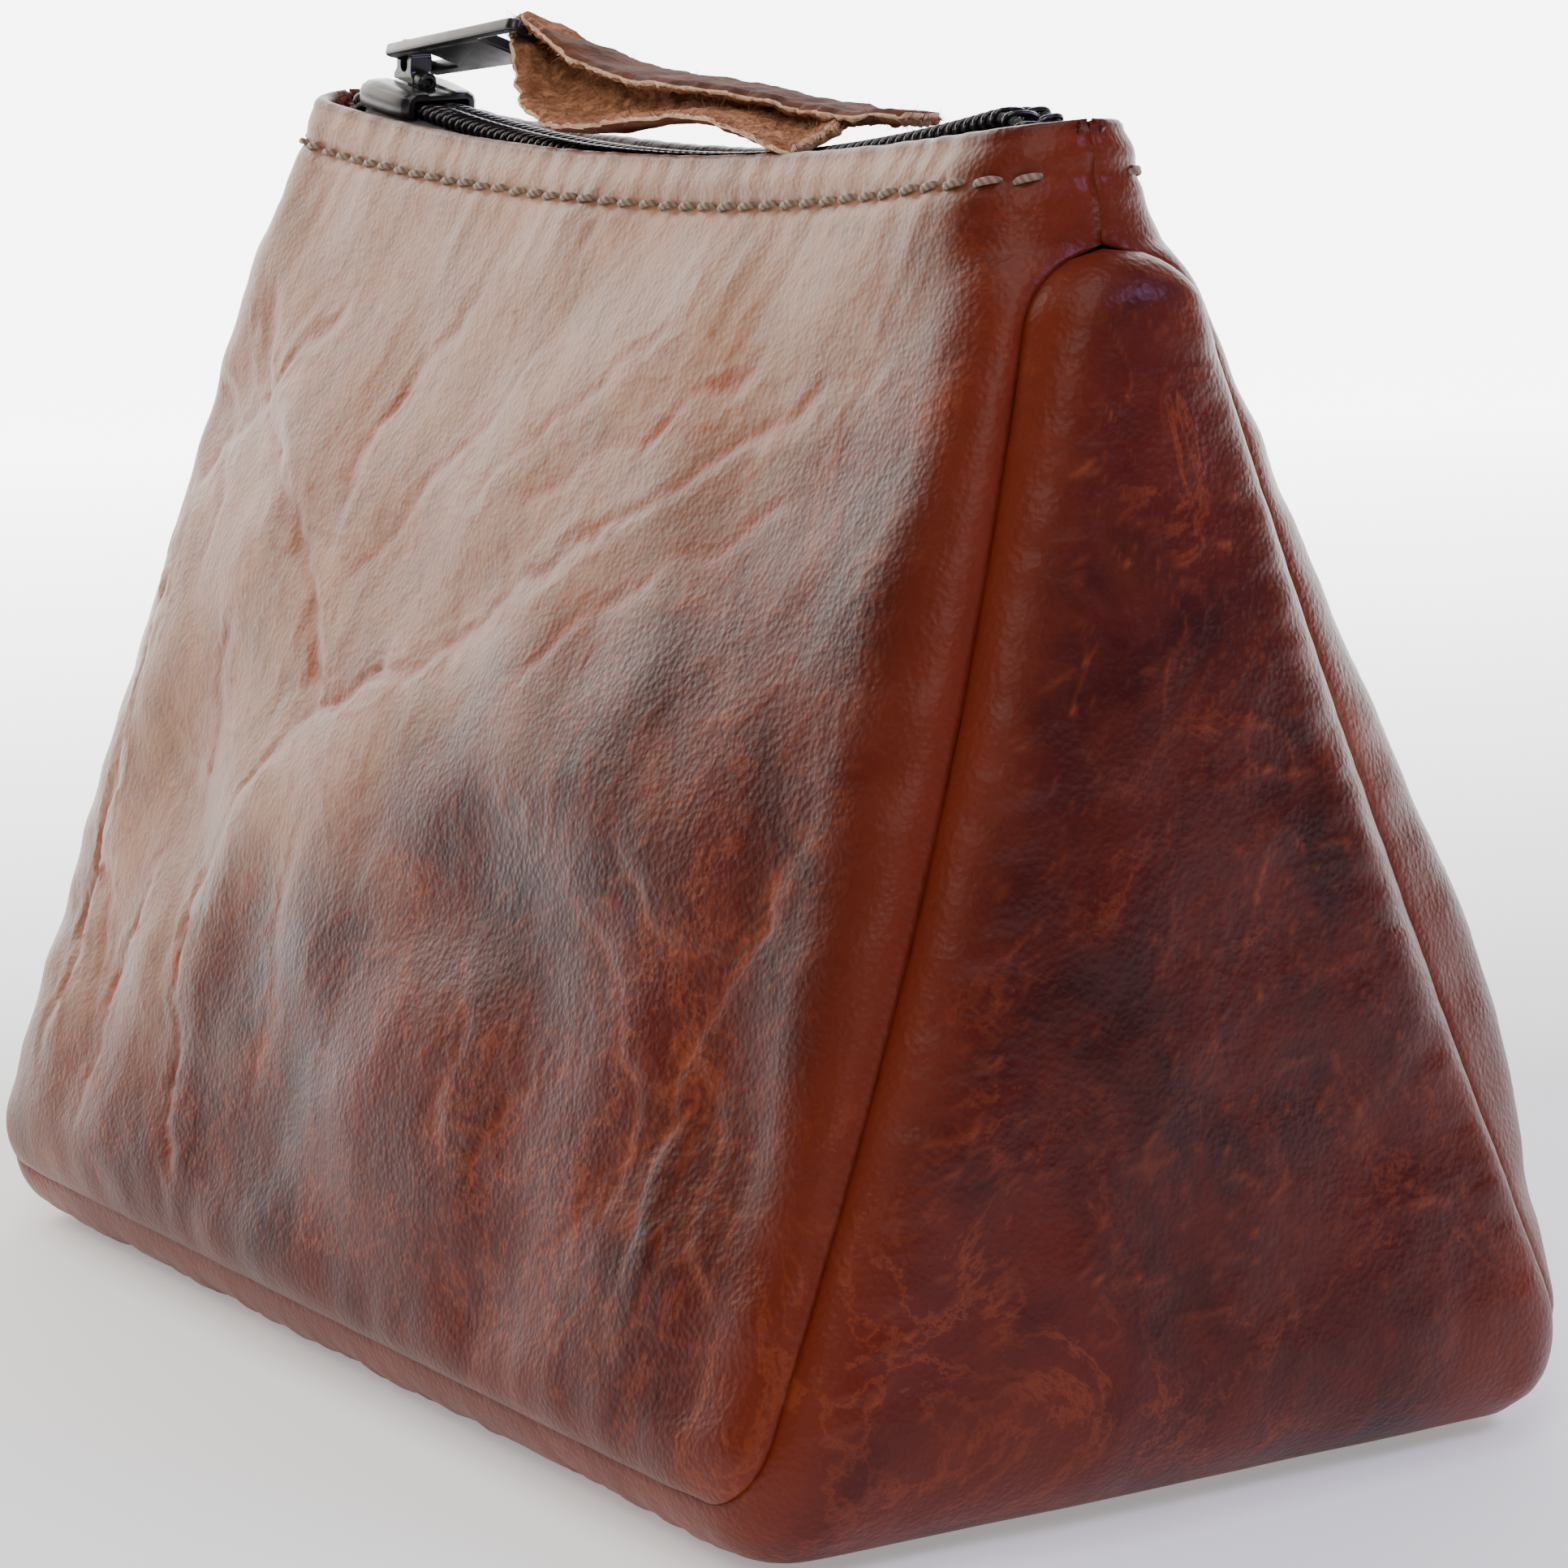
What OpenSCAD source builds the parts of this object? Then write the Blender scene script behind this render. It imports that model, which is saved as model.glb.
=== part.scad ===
// Leather shaving kit bag with a curved coil zip, an auto-lock slider and a leather pull.
// Frame: X along the zip, front panel on -Y, Z up, origin under the middle of the base.

/* [Bag] */
// Length of the bag over the end gussets at the base
base_len = 240; // [200:1:280]
// Width of the base between its front and back seams
base_wid = 122; // [100:1:150]
// Height of the leather top edge at the side seams
top_z = 168; // [140:1:200]
// How far the tip of each end gusset sits below the leather top edge
tip_drop = 14; // [10:1:20]
// How far the middle of the top edge hangs below its ends
edge_sag = 6.5; // [3:0.5:7.5]
// How far each end leans in from the base to the top edge
end_lean = 13; // [8:1:24]
// Half the width of the mouth at the top edge
mouth_half = 10; // [9.6:0.2:12]

/* [Leather] */
// Thickness of the leather
leather_t = 1.6; // [1:0.1:2]
// Height of the base seams over the floor
seam_rise = 9; // [6:0.5:12]
// How far the end gussets stand proud of their seams
end_roll = 5; // [3:0.5:7]
// How far the end gussets are pulled narrow halfway up
pinch = 3; // [0:0.5:5]
// How far the front and back panels swell in the middle
swell = 8; // [3:0.5:11]
// Depth of the seam allowances turned inside
allowance = 6; // [4:0.5:6.5]
// Half of the gap left between two seam allowances
seam_gap = 0.3; // [0.25:0.05:0.4]

/* [Lining] */
// Thickness of the lining cloth
lining_t = 0.5; // [0.3:0.1:0.8]
// How far the lining's seams sit inside the leather's seams
lining_inset = 9; // [8.5:0.5:12]

/* [Zip] */
// Radius of the zip's sag, seen from the front
zip_radius = 480; // [420:10:700]
// How far inside each end of the top edge the zip bends down
zip_inset = 16; // [16:0.5:32]
// How far the tape hangs below the middle of the top edge
tape_drop = 2; // [1:0.1:3]
// Thickness of the zip tape
tape_t = 0.7; // [0.5:0.1:0.9]
// Height of the coil over the tape
coil_h = 2.6; // [2.2:0.1:3]
// Half the width of the closed chain
chain_half = 4; // [3.6:0.1:4.2]
// Half the gap between the two coils, where the slider's divider runs
divider_gap = 0.75; // [0.6:0.05:0.9]
// Radius of the bend at each end of the chain
bend_r = 6.5; // [5.5:0.5:7]

/* [Slider] */
// How far the closed slider's middle stands from the bend at the left end
slider_inset = 8; // [8:1:46]
// Length of the slider
slider_len = 15; // [13:0.5:16]
// Half the width of the slider's tail
tail_half = 6.1; // [5.9:0.1:6.3]
// Half the width of the slider's nose
nose_half = 6.7; // [6.4:0.1:6.8]
// Running clearance between the slider and the chain
slide_gap = 0.4; // [0.3:0.05:0.5]
// Thickness of the slider's blades
blade_t = 1.2; // [0.9:0.1:1.4]
// Height of the pull's pivot over the upper blade
pivot_rise = 3.3; // [3.1:0.1:4]

/* [Pull] */
// Length of the metal pull from its pivot
pull_len = 35.4; // [30:0.2:40]
// Thickness of the metal pull
pull_t = 1.8; // [1.4:0.1:2]
// Half the width of the pull at its pivot
pull_half = 4.9; // [4.6:0.1:5.2]
// Half the width of the pull at its tip
pull_tip_half = 6; // [5.4:0.1:7]
// Diameter of the pivot bar
bar_d = 1.8; // [1.4:0.1:2]
// How far the pull stands up from level
pull_rise = 7; // [5:1:20]
// How far the pull rolls towards the back
pull_roll = 22; // [0:1:24]
// Width of the leather strap where it lies free
strap_wid = 14; // [10:0.5:18]
// Thickness of the leather strap
strap_t = 1.5; // [1:0.1:1.8]

/* [Stitching] */
// Length from one stitch to the next
stitch_pitch = 5.2; // [4:0.1:6]
// Diameter of the sewing thread
thread_d = 0.8; // [0.5:0.1:1]
// Distance of the top stitching below the top edge
stitch_drop = 5.2; // [4:0.2:7]

/* [Hidden] */
$fn = 48;

leather = [0.40, 0.20, 0.13];
cloth = [0.13, 0.11, 0.10];
tape_black = [0.08, 0.08, 0.08];
metal = [0.16, 0.16, 0.17];
thread_tan = [0.62, 0.53, 0.42];

corner_r = 10;      // radius of the panels' lower corners
edge_r = 12;        // width of the rolled edge beside the end seams
rise_r = 10;        // height of the rolled edge over the base seams
tip_r = 8;          // height over which the gusset tip rounds off
tip_half = 10;      // half the width of the gusset where its tip starts
lip = 4;            // how far the panels roll out past their seams
gusset_swell = 4;   // how far the end gussets swell in the middle
trim_share = 0.5;   // how much of the seam allowance is left over the gusset tip
lean_power = 2.3;   // how late the ends start to lean in
sag_from = 60;      // height from which the panels follow the sagging top edge
seam_half = base_len / 2 - end_roll;
tip_z = top_z - tip_drop;
zip_half = seam_half - end_lean - zip_inset;
slider_x = slider_inset - zip_half;
arc_steps = [90, 67.5, 45, 22.5, 0];

// ---- shape of the bag: c is how far a layer's seams are inset from the leather's ----

function unit(v) = v / norm(v);
function seam_z(c) = seam_rise + c;
function tip_top(c) = tip_z - 1.5 * c;
function end_x(z, c) = seam_half - c - end_lean * pow(max(z, 0) / top_z, lean_power);
function seam_x(z, c) = let (up = seam_z(c) + corner_r - z)
    end_x(z, c) - (up > 0 ? corner_r - sqrt(max(0, corner_r * corner_r - up * up)) : 0);
function tip_round(z, c) = let (over = (z - tip_top(c) + tip_r) / tip_r)
    over <= 0 ? 1 : over >= 1 ? 0 : sqrt(1 - over * over);
function seam_y(z, c) = let (s = (z - seam_z(c)) / (tip_z - seam_rise)) tip_round(z, c)
    * (base_wid / 2 - c - (base_wid / 2 - tip_half) * s - pinch * sin(180 * min(1, max(0, s))));
function rise_round(z, c) = let (down = 1 - (z - seam_z(c)) / rise_r)
    down <= 0 ? 1 : sqrt(max(0, 1 - down * down));
function edge_round(x, z, c) = let (out = (abs(x) - seam_x(z, c) + edge_r) / edge_r)
    out <= 0 ? 1 : sqrt(max(0, 1 - out * out));
function height_share(z, c) = (z - seam_z(c)) / (top_z - seam_z(c));
function flank_y(z, c, mouth) = let (s = height_share(z, c))
    (base_wid / 2 - c) * (1 - s) + (mouth - lip) * s + lip * rise_round(z, c);

// Depth of a panel at a place, as a distance from the middle plane
function panel_y(x, z, c, mouth) = let (s = height_share(z, c), u = x / seam_x(z, c))
    seam_y(z, c) + (flank_y(z, c, mouth) - seam_y(z, c)) * edge_round(x, z, c)
    + swell * sin(180 * pow(max(s, 0), 0.8)) * max(0, 1 - u * u);
function sagged(x, z) = z - edge_sag * max(0, 1 - pow(x / end_x(top_z, 0), 2))
    * max(0, z - sag_from) / (top_z - sag_from);
function panel_point(x, z, c, mouth) = [x, -panel_y(x, z, c, mouth), sagged(x, z)];

// ---- sheets with turned-in seam allowances, as closed shells ----

function quad(a, b, c, d) = [[a, b, c], [a, c, d]];
function flat1(list) = [for (part = list) each part];
function grid_normal(g, r, c) = let (rows = len(g), cols = len(g[0]),
    along = g[r][min(c + 1, cols - 1)] - g[r][max(c - 1, 0)],
    up = g[min(r + 1, rows - 1)][c] - g[max(r - 1, 0)][c])
    unit(cross(up, along));

// grain: grid of outer points. rim: the boundary's grid places in order. fold: at each place on the rim,
// [allowance's direction, flesh side, panel's inward side, share of depth]. closed: the rim runs all round.
module turned_sheet(grain, rim, fold, thick, depth, shift, closed) {
    rows = len(grain);
    cols = len(grain[0]);
    edge = len(rim);
    rim_of = [for (r = [0 : rows - 1]) [for (c = [0 : cols - 1])
        let (hit = [for (k = [0 : edge - 1]) if (rim[k] == [r, c]) k]) len(hit) > 0 ? hit[0] : -1]];
    outer = [for (r = [0 : rows - 1]) [for (c = [0 : cols - 1]) let (k = rim_of[r][c])
        k < 0 ? grain[r][c] : grain[r][c] + shift * fold[k][1]]];
    flesh = [for (r = [0 : rows - 1]) [for (c = [0 : cols - 1]) let (k = rim_of[r][c])
        k < 0 ? outer[r][c] + thick * grid_normal(grain, r, c)
              : outer[r][c] + thick * 1.08 * unit(fold[k][1] + fold[k][2])]];
    turned = [for (k = [0 : edge - 1]) outer[rim[k][0]][rim[k][1]] + depth * fold[k][3] * fold[k][0]];
    turned_flesh = [for (k = [0 : edge - 1]) turned[k] + thick * fold[k][1]];
    count = rows * cols;
    function g(r, c) = r * cols + c;
    function rim_g(k) = g(rim[k % edge][0], rim[k % edge][1]);
    last = closed ? edge - 1 : edge - 2;
    points = concat(flat1(outer), flat1(flesh), turned, turned_flesh);
    faces = flat1(concat(
        [for (r = [0 : rows - 2]) for (c = [0 : cols - 2])
            quad(g(r, c), g(r + 1, c), g(r + 1, c + 1), g(r, c + 1))],
        [for (r = [0 : rows - 2]) for (c = [0 : cols - 2])
            quad(count + g(r, c), count + g(r, c + 1), count + g(r + 1, c + 1), count + g(r + 1, c))],
        [for (k = [0 : last]) let (n = (k + 1) % edge)
            quad(rim_g(k), rim_g(n), 2 * count + n, 2 * count + k)],
        [for (k = [0 : last]) let (n = (k + 1) % edge)
            quad(count + rim_g(n), count + rim_g(k), 2 * count + edge + k, 2 * count + edge + n)],
        [for (k = [0 : last]) let (n = (k + 1) % edge)
            quad(2 * count + k, 2 * count + n, 2 * count + edge + n, 2 * count + edge + k)],
        closed ? [] : concat(
            [for (c = [0 : cols - 2]) quad(g(rows - 1, c), count + g(rows - 1, c),
                count + g(rows - 1, c + 1), g(rows - 1, c + 1))],
            [quad(rim_g(0), 2 * count, 2 * count + edge, count + rim_g(0)),
             quad(rim_g(edge - 1), count + rim_g(edge - 1), 2 * count + 2 * edge - 1,
                2 * count + edge - 1)])));
    polyhedron(points, faces, convexity = 6);
}

// ---- front and back panels ----

function panel_rows(c, mid, top) = concat(
    [for (a = arc_steps) seam_z(c) + rise_r * (1 - sin(a))],
    [for (i = [1 : mid]) let (low = seam_z(c) + rise_r, high = tip_top(c) - tip_r) low + (high - low) * i / mid],
    [for (a = [30, 55, 75, 90]) tip_top(c) - tip_r + tip_r * sin(a)],
    [for (i = [1 : top]) tip_top(c) + (top_z - tip_top(c)) * i / top]);
function panel_xs(z, c, mid) = let (x = seam_x(z, c), low = x - edge_r) concat(
    [for (a = arc_steps) -low - edge_r * sin(a)],
    [for (i = [1 : mid - 1]) -low + 2 * low * i / mid],
    [for (i = [4 : -1 : 0]) low + edge_r * sin(arc_steps[i])]);

function rim_tangent(points, k) = unit(points[min(k + 1, len(points) - 1)] - points[max(k - 1, 0)]);
function inward(p, z, c, on_base) = on_base ? [0, 0, 1] : let (d = 0.05,
    slope = (seam_x(z + d, c) - seam_x(max(z - d, seam_z(c)), c)) / (z - d < seam_z(c) ? d : 2 * d))
    unit([p[0] > 0 ? -1 : 1, 0, slope]);
// Turned direction, panel flesh side and panel's own inward side at a place on the seam
function seam_fold(p, z, c, tangent, on_base) = let (
    b = inward(p, z, c, on_base),
    a = [0, tip_round(z, c), 0],
    f = a + b,
    dir = unit(f - (f * tangent) * tangent))
    [dir, unit(cross(tangent, dir)), b, z > tip_z ? trim_share : 1];

// A panel's own top edge can be lower than the leather's, for the lining
module panel(c, mouth, thick, depth, mid_rows, mid_cols, drop) {
    zs = panel_rows(c, mid_rows, 3);
    rows = len(zs);
    grain = [for (r = [0 : rows - 1]) let (z = zs[r])
        [for (x = panel_xs(z, c, mid_cols)) panel_point(x, z, c, mouth)
            - [0, 0, drop * max(0, z - sag_from) / (top_z - sag_from)]]];
    cols = len(grain[0]);
    rim = concat([for (r = [rows - 1 : -1 : 0]) [r, 0]], [for (i = [1 : cols - 1]) [0, i]],
                 [for (r = [1 : rows - 1]) [r, cols - 1]]);
    line = [for (k = rim) grain[k[0]][k[1]]];
    fold = [for (k = [0 : len(rim) - 1])
        seam_fold(line[k], zs[rim[k][0]], c, rim_tangent(line, k), rim[k][0] == 0)];
    turned_sheet(grain, rim, fold, thick, depth, seam_gap, false);
}

// ---- gusset strip: up one end, along the base and up the other end ----

function strip_marks(c, mid, base) = let (zs = concat(
        [for (a = [66, 45, 22]) tip_top(c) - tip_r + tip_r * sin(a)],
        [for (i = [0 : mid]) let (low = seam_z(c) + rise_r, high = tip_top(c) - tip_r)
            high + (low - high) * i / mid],
        [for (a = [22.5, 45, 67.5]) seam_z(c) + rise_r * (1 - sin(a))]),
    side = [for (z = zs) [seam_x(z, c), z]], half = seam_x(seam_z(c), c))
    concat([for (s = side) [-s[0], s[1], 0]],
        [for (i = [0 : base]) [-half + 2 * half * i / base, seam_z(c), 1]],
        [for (i = [len(side) - 1 : -1 : 0]) [side[i][0], side[i][1], 0]]);
function strip_ys(half, mid) = let (roll = min(10, half / 2), low = half - roll) concat(
    [for (a = arc_steps) -low - roll * sin(a)],
    [for (i = [1 : mid - 1]) -low + 2 * low * i / mid],
    [for (i = [4 : -1 : 0]) low + roll * sin(arc_steps[i])]);
function strip_lift(y, half) = let (roll = min(10, half / 2), out = (abs(y) - half + roll) / roll)
    out <= 0 ? 1 : sqrt(max(0, 1 - out * out));

module strip(c, thick, depth, mid_rows, base_rows, mid_cols, end_out, base_out) {
    marks = strip_marks(c, mid_rows, base_rows);
    rows = len(marks);
    place = [for (m = marks) let (n = -inward([m[0], 0, m[1]], m[1], c, m[2] == 1),
        down = max(0, -n[2]), half = seam_y(m[1], c), round_off = tip_round(m[1], c))
        [m, n, half, round_off * (end_out + (base_out - end_out) * down * down),
         round_off * gusset_swell * (1 - down) * (end_out / end_roll)]];
    grain = [for (p = place) [for (y = strip_ys(p[2], mid_cols))
        [p[0][0], y, p[0][1]]
        + p[1] * (p[3] * strip_lift(y, p[2]) + p[4] * max(0, 1 - pow(y / p[2], 2)))]];
    cols = len(grain[0]);
    rim = concat([for (r = [rows - 1 : -1 : 0]) [r, 0]], [for (i = [1 : cols - 1]) [0, i]],
                 [for (r = [1 : rows - 1]) [r, cols - 1]], [for (i = [cols - 2 : -1 : 1]) [rows - 1, i]]);
    line = [for (p = place) [p[0][0], -p[2], p[0][1]]];
    fold = [for (k = rim) let (m = marks[k[0]], side = k[1] == 0 ? 1 : k[1] == cols - 1 ? -1 : 0,
            b = inward([m[0], 0, m[1]], m[1], c, m[2] == 1),
            f = seam_fold([m[0], 0, m[1]], m[1], c, rim_tangent(line, k[0]), m[2] == 1))
        side == 0 ? [b, unit([0, 0, -1] + 0.2 * b), b, 1]
        : [[f[0][0], side * f[0][1], f[0][2]], [-f[1][0], -side * f[1][1], -f[1][2]], [0, side, 0], 1]];
    turned_sheet(grain, rim, fold, thick, depth, seam_gap, true);
}

module front_panel() {
    color(leather) panel(0, mouth_half, leather_t, allowance, 9, 14, 0);
}

module back_panel() {
    color(leather) mirror([0, 1, 0]) panel(0, mouth_half, leather_t, allowance, 9, 14, 0);
}

module gusset_strip() {
    color(leather) strip(0, leather_t, allowance, 9, 8, 4, end_roll, seam_rise);
}

// ---- lining: the same three pieces, cut smaller ----

lining_mouth = 6.9;    // half the width of the lining's mouth, under the slider
lining_drop = 6;       // how far the lining's top edge hangs below the leather's
lining_allowance = 4;  // depth of the lining's seam allowances
lining_lift = 0.4;     // gap left between the lining and the leather of the base
lining_end_roll = 3;   // how far the lining's ends stand proud of their seams

module lining_side() {
    panel(lining_inset, lining_mouth, lining_t, lining_allowance, 5, 8, lining_drop);
}

module front_lining() {
    color(cloth) lining_side();
}

module back_lining() {
    color(cloth) mirror([0, 1, 0]) lining_side();
}

module gusset_lining() {
    color(cloth) strip(lining_inset, lining_t, lining_allowance, 5, 4, 2, lining_end_roll,
        seam_rise + lining_inset - leather_t - lining_lift);
}

// ---- zip: tapes and coils sag on one arc and turn down into the bag at both ends ----

arc_z = top_z - edge_sag - tape_drop + zip_radius;   // height of the middle of the zip's arc
arc_half = asin(zip_half / zip_radius);              // half the angle of the straight run
bend_angle = 80;                                     // how far the ends turn down
tape_out = 7.7;                                      // half the width of the tapes where they turn down
tape_leg = 8;                                        // depth of the sewn part of a tape
leg_slope = 0.32;                                    // sideways run of the sewn part for each mm down
tape_end_out = 4.6;                                  // half the width of the tape ends in the bends
cord_d = 1.3;                                        // diameter of the cord inside a coil
cord_gap = 0.1;                                      // clearance around that cord

// Profiles are drawn as [height over the underside of the tape, distance from the middle]
module along_zip() {
    translate([0, 0, arc_z]) rotate([90, 0, 0]) rotate([0, 0, -90 - arc_half])
        rotate_extrude(angle = 2 * arc_half, $fn = 96) mirror([1, 0]) translate([-zip_radius, 0])
            children();
}
module along_bend() {
    for (side = [0, 1]) mirror([side, 0, 0]) at_zip(arc_half) translate([0, 0, -bend_r])
        rotate([90, 0, 0]) rotate([0, 0, 90 - bend_angle]) rotate_extrude(angle = bend_angle, $fn = 96)
            translate([bend_r, 0]) children();
}
// Puts children on the zip at an angle from its middle, X along the tape and Z up from its underside
module at_zip(angle) {
    translate([0, 0, arc_z]) rotate([0, -angle, 0]) translate([0, 0, -zip_radius]) children();
}

module tape_profile() {
    polygon([[0, divider_gap], [tape_t, divider_gap], [tape_t, tape_out],
             [-tape_leg, tape_out + leg_slope * (tape_leg + tape_t)],
             [-tape_leg, tape_out + leg_slope * (tape_leg + tape_t) - tape_t],
             [0, tape_out - tape_t]]);
}
module coil_profile() {
    radius = coil_h / 2;
    difference() {
        union() {
            translate([tape_t, divider_gap]) square([radius, chain_half - divider_gap]);
            translate([tape_t + radius, divider_gap]) square([radius, chain_half - divider_gap - radius]);
            translate([tape_t + radius, chain_half - radius]) circle(r = radius);
        }
        cord_place() circle(d = cord_d + 2 * cord_gap);
    }
}
module cord_place() {
    translate([tape_t + coil_h / 2, chain_half - coil_h / 2]) children();
}

// The back tape's profile is the front's, mirrored: the profile's second axis runs to -Y
module front_zip_tape() {
    color(tape_black) union() {
        along_zip() tape_profile();
        along_bend() translate([0, divider_gap]) square([tape_t, tape_end_out - divider_gap]);
    }
}
module front_zip_coil() {
    color(tape_black) union() {
        along_zip() coil_profile();
        along_bend() coil_profile();
    }
}
module front_coil_cord() {
    color(tape_black) union() {
        along_zip() cord_place() circle(d = cord_d);
        along_bend() cord_place() circle(d = cord_d);
    }
}
module back_zip_tape() {
    mirror([0, 1, 0]) front_zip_tape();
}
module back_zip_coil() {
    mirror([0, 1, 0]) front_zip_coil();
}
module back_coil_cord() {
    mirror([0, 1, 0]) front_coil_cord();
}

// ---- slider, drawn on the zip with its nose towards -X ----

slider_angle = asin(slider_x / zip_radius);
channel_half = chain_half + slide_gap;
under_top = tape_t + coil_h + slide_gap;    // underside of the upper blade
upper_top = under_top + blade_t;
flange_z = tape_t + slide_gap;              // underside of the upper blade's side flanges
divider_len = 4;                            // length of the divider at the nose
divider_clear = 0.3;                        // clearance on each side of the divider
lower_half = 5.6;                           // half the width of the lower blade
corner = 1.5;                               // corner radius of the blades

module blade_outline(nose, tail) {
    half = slider_len / 2;
    union() {
        polygon([[-half + corner, -nose], [0, -nose], [half - corner, -tail], [half, -tail + corner],
                 [half, tail - corner], [half - corner, tail], [0, nose], [-half + corner, nose],
                 [-half, nose - corner], [-half, -nose + corner]]);
        for (y = [-1, 1]) {
            translate([half - corner, y * (tail - corner)]) circle(r = corner);
            translate([-half + corner, y * (nose - corner)]) circle(r = corner);
        }
    }
}

module slider_body() {
    half = slider_len / 2;
    color(metal) at_zip(slider_angle) {
        difference() {
            translate([0, 0, flange_z]) linear_extrude(upper_top - flange_z)
                blade_outline(nose_half, tail_half);
            translate([-slider_len, -channel_half, flange_z - 1])
                cube([2 * slider_len, 2 * channel_half, under_top - flange_z + 1]);
        }
        translate([0, 0, -slide_gap - blade_t]) linear_extrude(blade_t)
            blade_outline(lower_half, lower_half);
        translate([-half, -divider_gap + divider_clear, -slide_gap - blade_t / 2])
            cube([divider_len, 2 * (divider_gap - divider_clear), under_top + slide_gap + blade_t]);
    }
}

pivot_x = -2;                                 // the pull's pivot along the slider
pivot_z = upper_top + pivot_rise;
crown_half = 1.75;                            // half the width of the crown
crown_wall = 1.3;                             // wall of the crown over the pivot
play = 0.15;                                  // clearance of the pivot bar in the crown's eye
eye_x = bar_d / 2 + play;
eye_z = bar_d / 2 + play + crown_half * tan(pull_roll);
crown_foot = 3.2;                             // half the length of the crown's foot

// Bridge over the slider with an eye in which the pull's bar hangs
module slider_crown() {
    color(metal) at_zip(slider_angle) translate([pivot_x, crown_half, pivot_z]) rotate([90, 0, 0])
        linear_extrude(2 * crown_half) difference() {
            union() {
                translate([0, eye_z - eye_x]) circle(r = eye_x + crown_wall);
                translate([-eye_x - crown_wall, -pivot_rise])
                    square([2 * (eye_x + crown_wall), pivot_rise + eye_z - eye_x]);
                translate([-crown_foot, -pivot_rise]) square([2 * crown_foot, blade_t]);
            }
            for (z = [-1, 1]) translate([0, z * (eye_z - eye_x)]) circle(r = eye_x);
            translate([-eye_x, -eye_z + eye_x]) square([2 * eye_x, 2 * (eye_z - eye_x)]);
        }
}

// ---- pull: a fork with a pivot bar, a window for the crown and a slot for the strap ----

fork_half = 2.9;        // half the width of the window around the crown
fork_len = 9;           // length of that window from the pivot
slot_half = 4.2;        // half the width of the strap's slot
slot_len = 9;           // length of the strap's slot
tip_bar = 2.2;          // diameter of the bar that the strap folds round
pull_corner = 1.4;      // corner radius of the pull

module at_pull() {
    at_zip(slider_angle) translate([pivot_x, 0, pivot_z]) rotate([-pull_roll, 0, 0])
        rotate([0, slider_angle - pull_rise, 0]) children();
}

module puller() {
    color(metal) at_pull() {
        translate([0, 0, -pull_t / 2]) linear_extrude(pull_t) difference() {
            union() {
                polygon([[0, -pull_half], [pull_len - pull_corner, -pull_tip_half],
                         [pull_len, -pull_tip_half + pull_corner], [pull_len, pull_tip_half - pull_corner],
                         [pull_len - pull_corner, pull_tip_half], [0, pull_half]]);
                for (y = [-1, 1]) {
                    translate([pull_len - pull_corner, y * (pull_tip_half - pull_corner)])
                        circle(r = pull_corner);
                    translate([0, y * (pull_half + fork_half) / 2])
                        circle(d = pull_half - fork_half);
                }
            }
            translate([-1, -fork_half]) square([fork_len + 1, 2 * fork_half]);
            translate([pull_len - tip_bar - slot_len, -slot_half])
                square([slot_len + 2 * tip_bar, 2 * slot_half]);
        }
        cross_bar(0, bar_d, fork_half);
        cross_bar(pull_len - tip_bar / 2, tip_bar, slot_half);
    }
}
// Round bar across a window of the pull, sunk a little into both rails
module cross_bar(x, d, half) {
    sink = 0.5;
    translate([x, half + sink, 0]) rotate([90, 0, 0]) cylinder(d = d, h = 2 * (half + sink));
}

// ---- leather strap: folded through the slot, its two leaves lie back along the zip ----

lay_gap = 0.6;          // clearance between the strap, the zip and its own leaves
fold_gap = 0.35;        // clearance between the strap and the bar it folds round
fold_r = tip_bar / 2 + fold_gap + strap_t / 2;
near_len = 78;          // length of the short leaf past the pull's tip
far_len = 104;          // length of the long leaf past the pull's tip
settle_len = 26;        // distance over which the leaves come down on to the zip
leaf_shift = 1.5;       // how far the long leaf lies towards the back
fold_half = 3.9;        // half the width of the strap in the slot
leaf_start = 1.5;       // where the leaves begin past the bar

// Directions of the rolled and raised pull: along it and out of its upper face
function pull_turned(v) = let (a = slider_angle - pull_rise, r = -pull_roll, b = -slider_angle,
    p = [v[0] * cos(a) + v[2] * sin(a), v[1], v[2] * cos(a) - v[0] * sin(a)],
    q = [p[0], p[1] * cos(r) - p[2] * sin(r), p[1] * sin(r) + p[2] * cos(r)])
    [q[0] * cos(b) + q[2] * sin(b), q[1], q[2] * cos(b) - q[0] * sin(b)];
pull_dir = pull_turned([1, 0, 0]);
pull_up = pull_turned([0, 0, 1]);
pull_side = pull_turned([0, 1, 0]);
pivot_at = [zip_radius * sin(slider_angle) + pivot_x * cos(slider_angle) - pivot_z * sin(slider_angle), 0,
            arc_z - zip_radius * cos(slider_angle) + pivot_x * sin(slider_angle)
            + pivot_z * cos(slider_angle)];
fold_at = pivot_at + (pull_len - tip_bar / 2) * pull_dir;

function ease(t) = let (u = min(1, max(0, t))) u * u * (3 - 2 * u);
function lie_z(x) = arc_z - sqrt(pow(zip_radius - tape_t - coil_h - lay_gap - strap_t / 2, 2) - x * x);
// A leaf's middle line: s runs from the fold outwards, side is 1 for the upper, long leaf and -1 for the other
function leaf_point(s, side) = let (t = ease((s - 2) / settle_len),
    start = fold_at + s * pull_dir + side * fold_r * pull_up, x = start[0],
    end = [x, side > 0 ? leaf_shift : 0, lie_z(x) + (side > 0 ? strap_t + lay_gap : 0)])
    start * (1 - t) + end * t;
function leaf_half(s) = fold_half + (strap_wid / 2 - fold_half) * ease((s - 4) / 16);
function leaf_side(s) = let (t = ease((s - 2) / settle_len)) unit(pull_side * (1 - t) + [0, 1, 0] * t);

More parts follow.
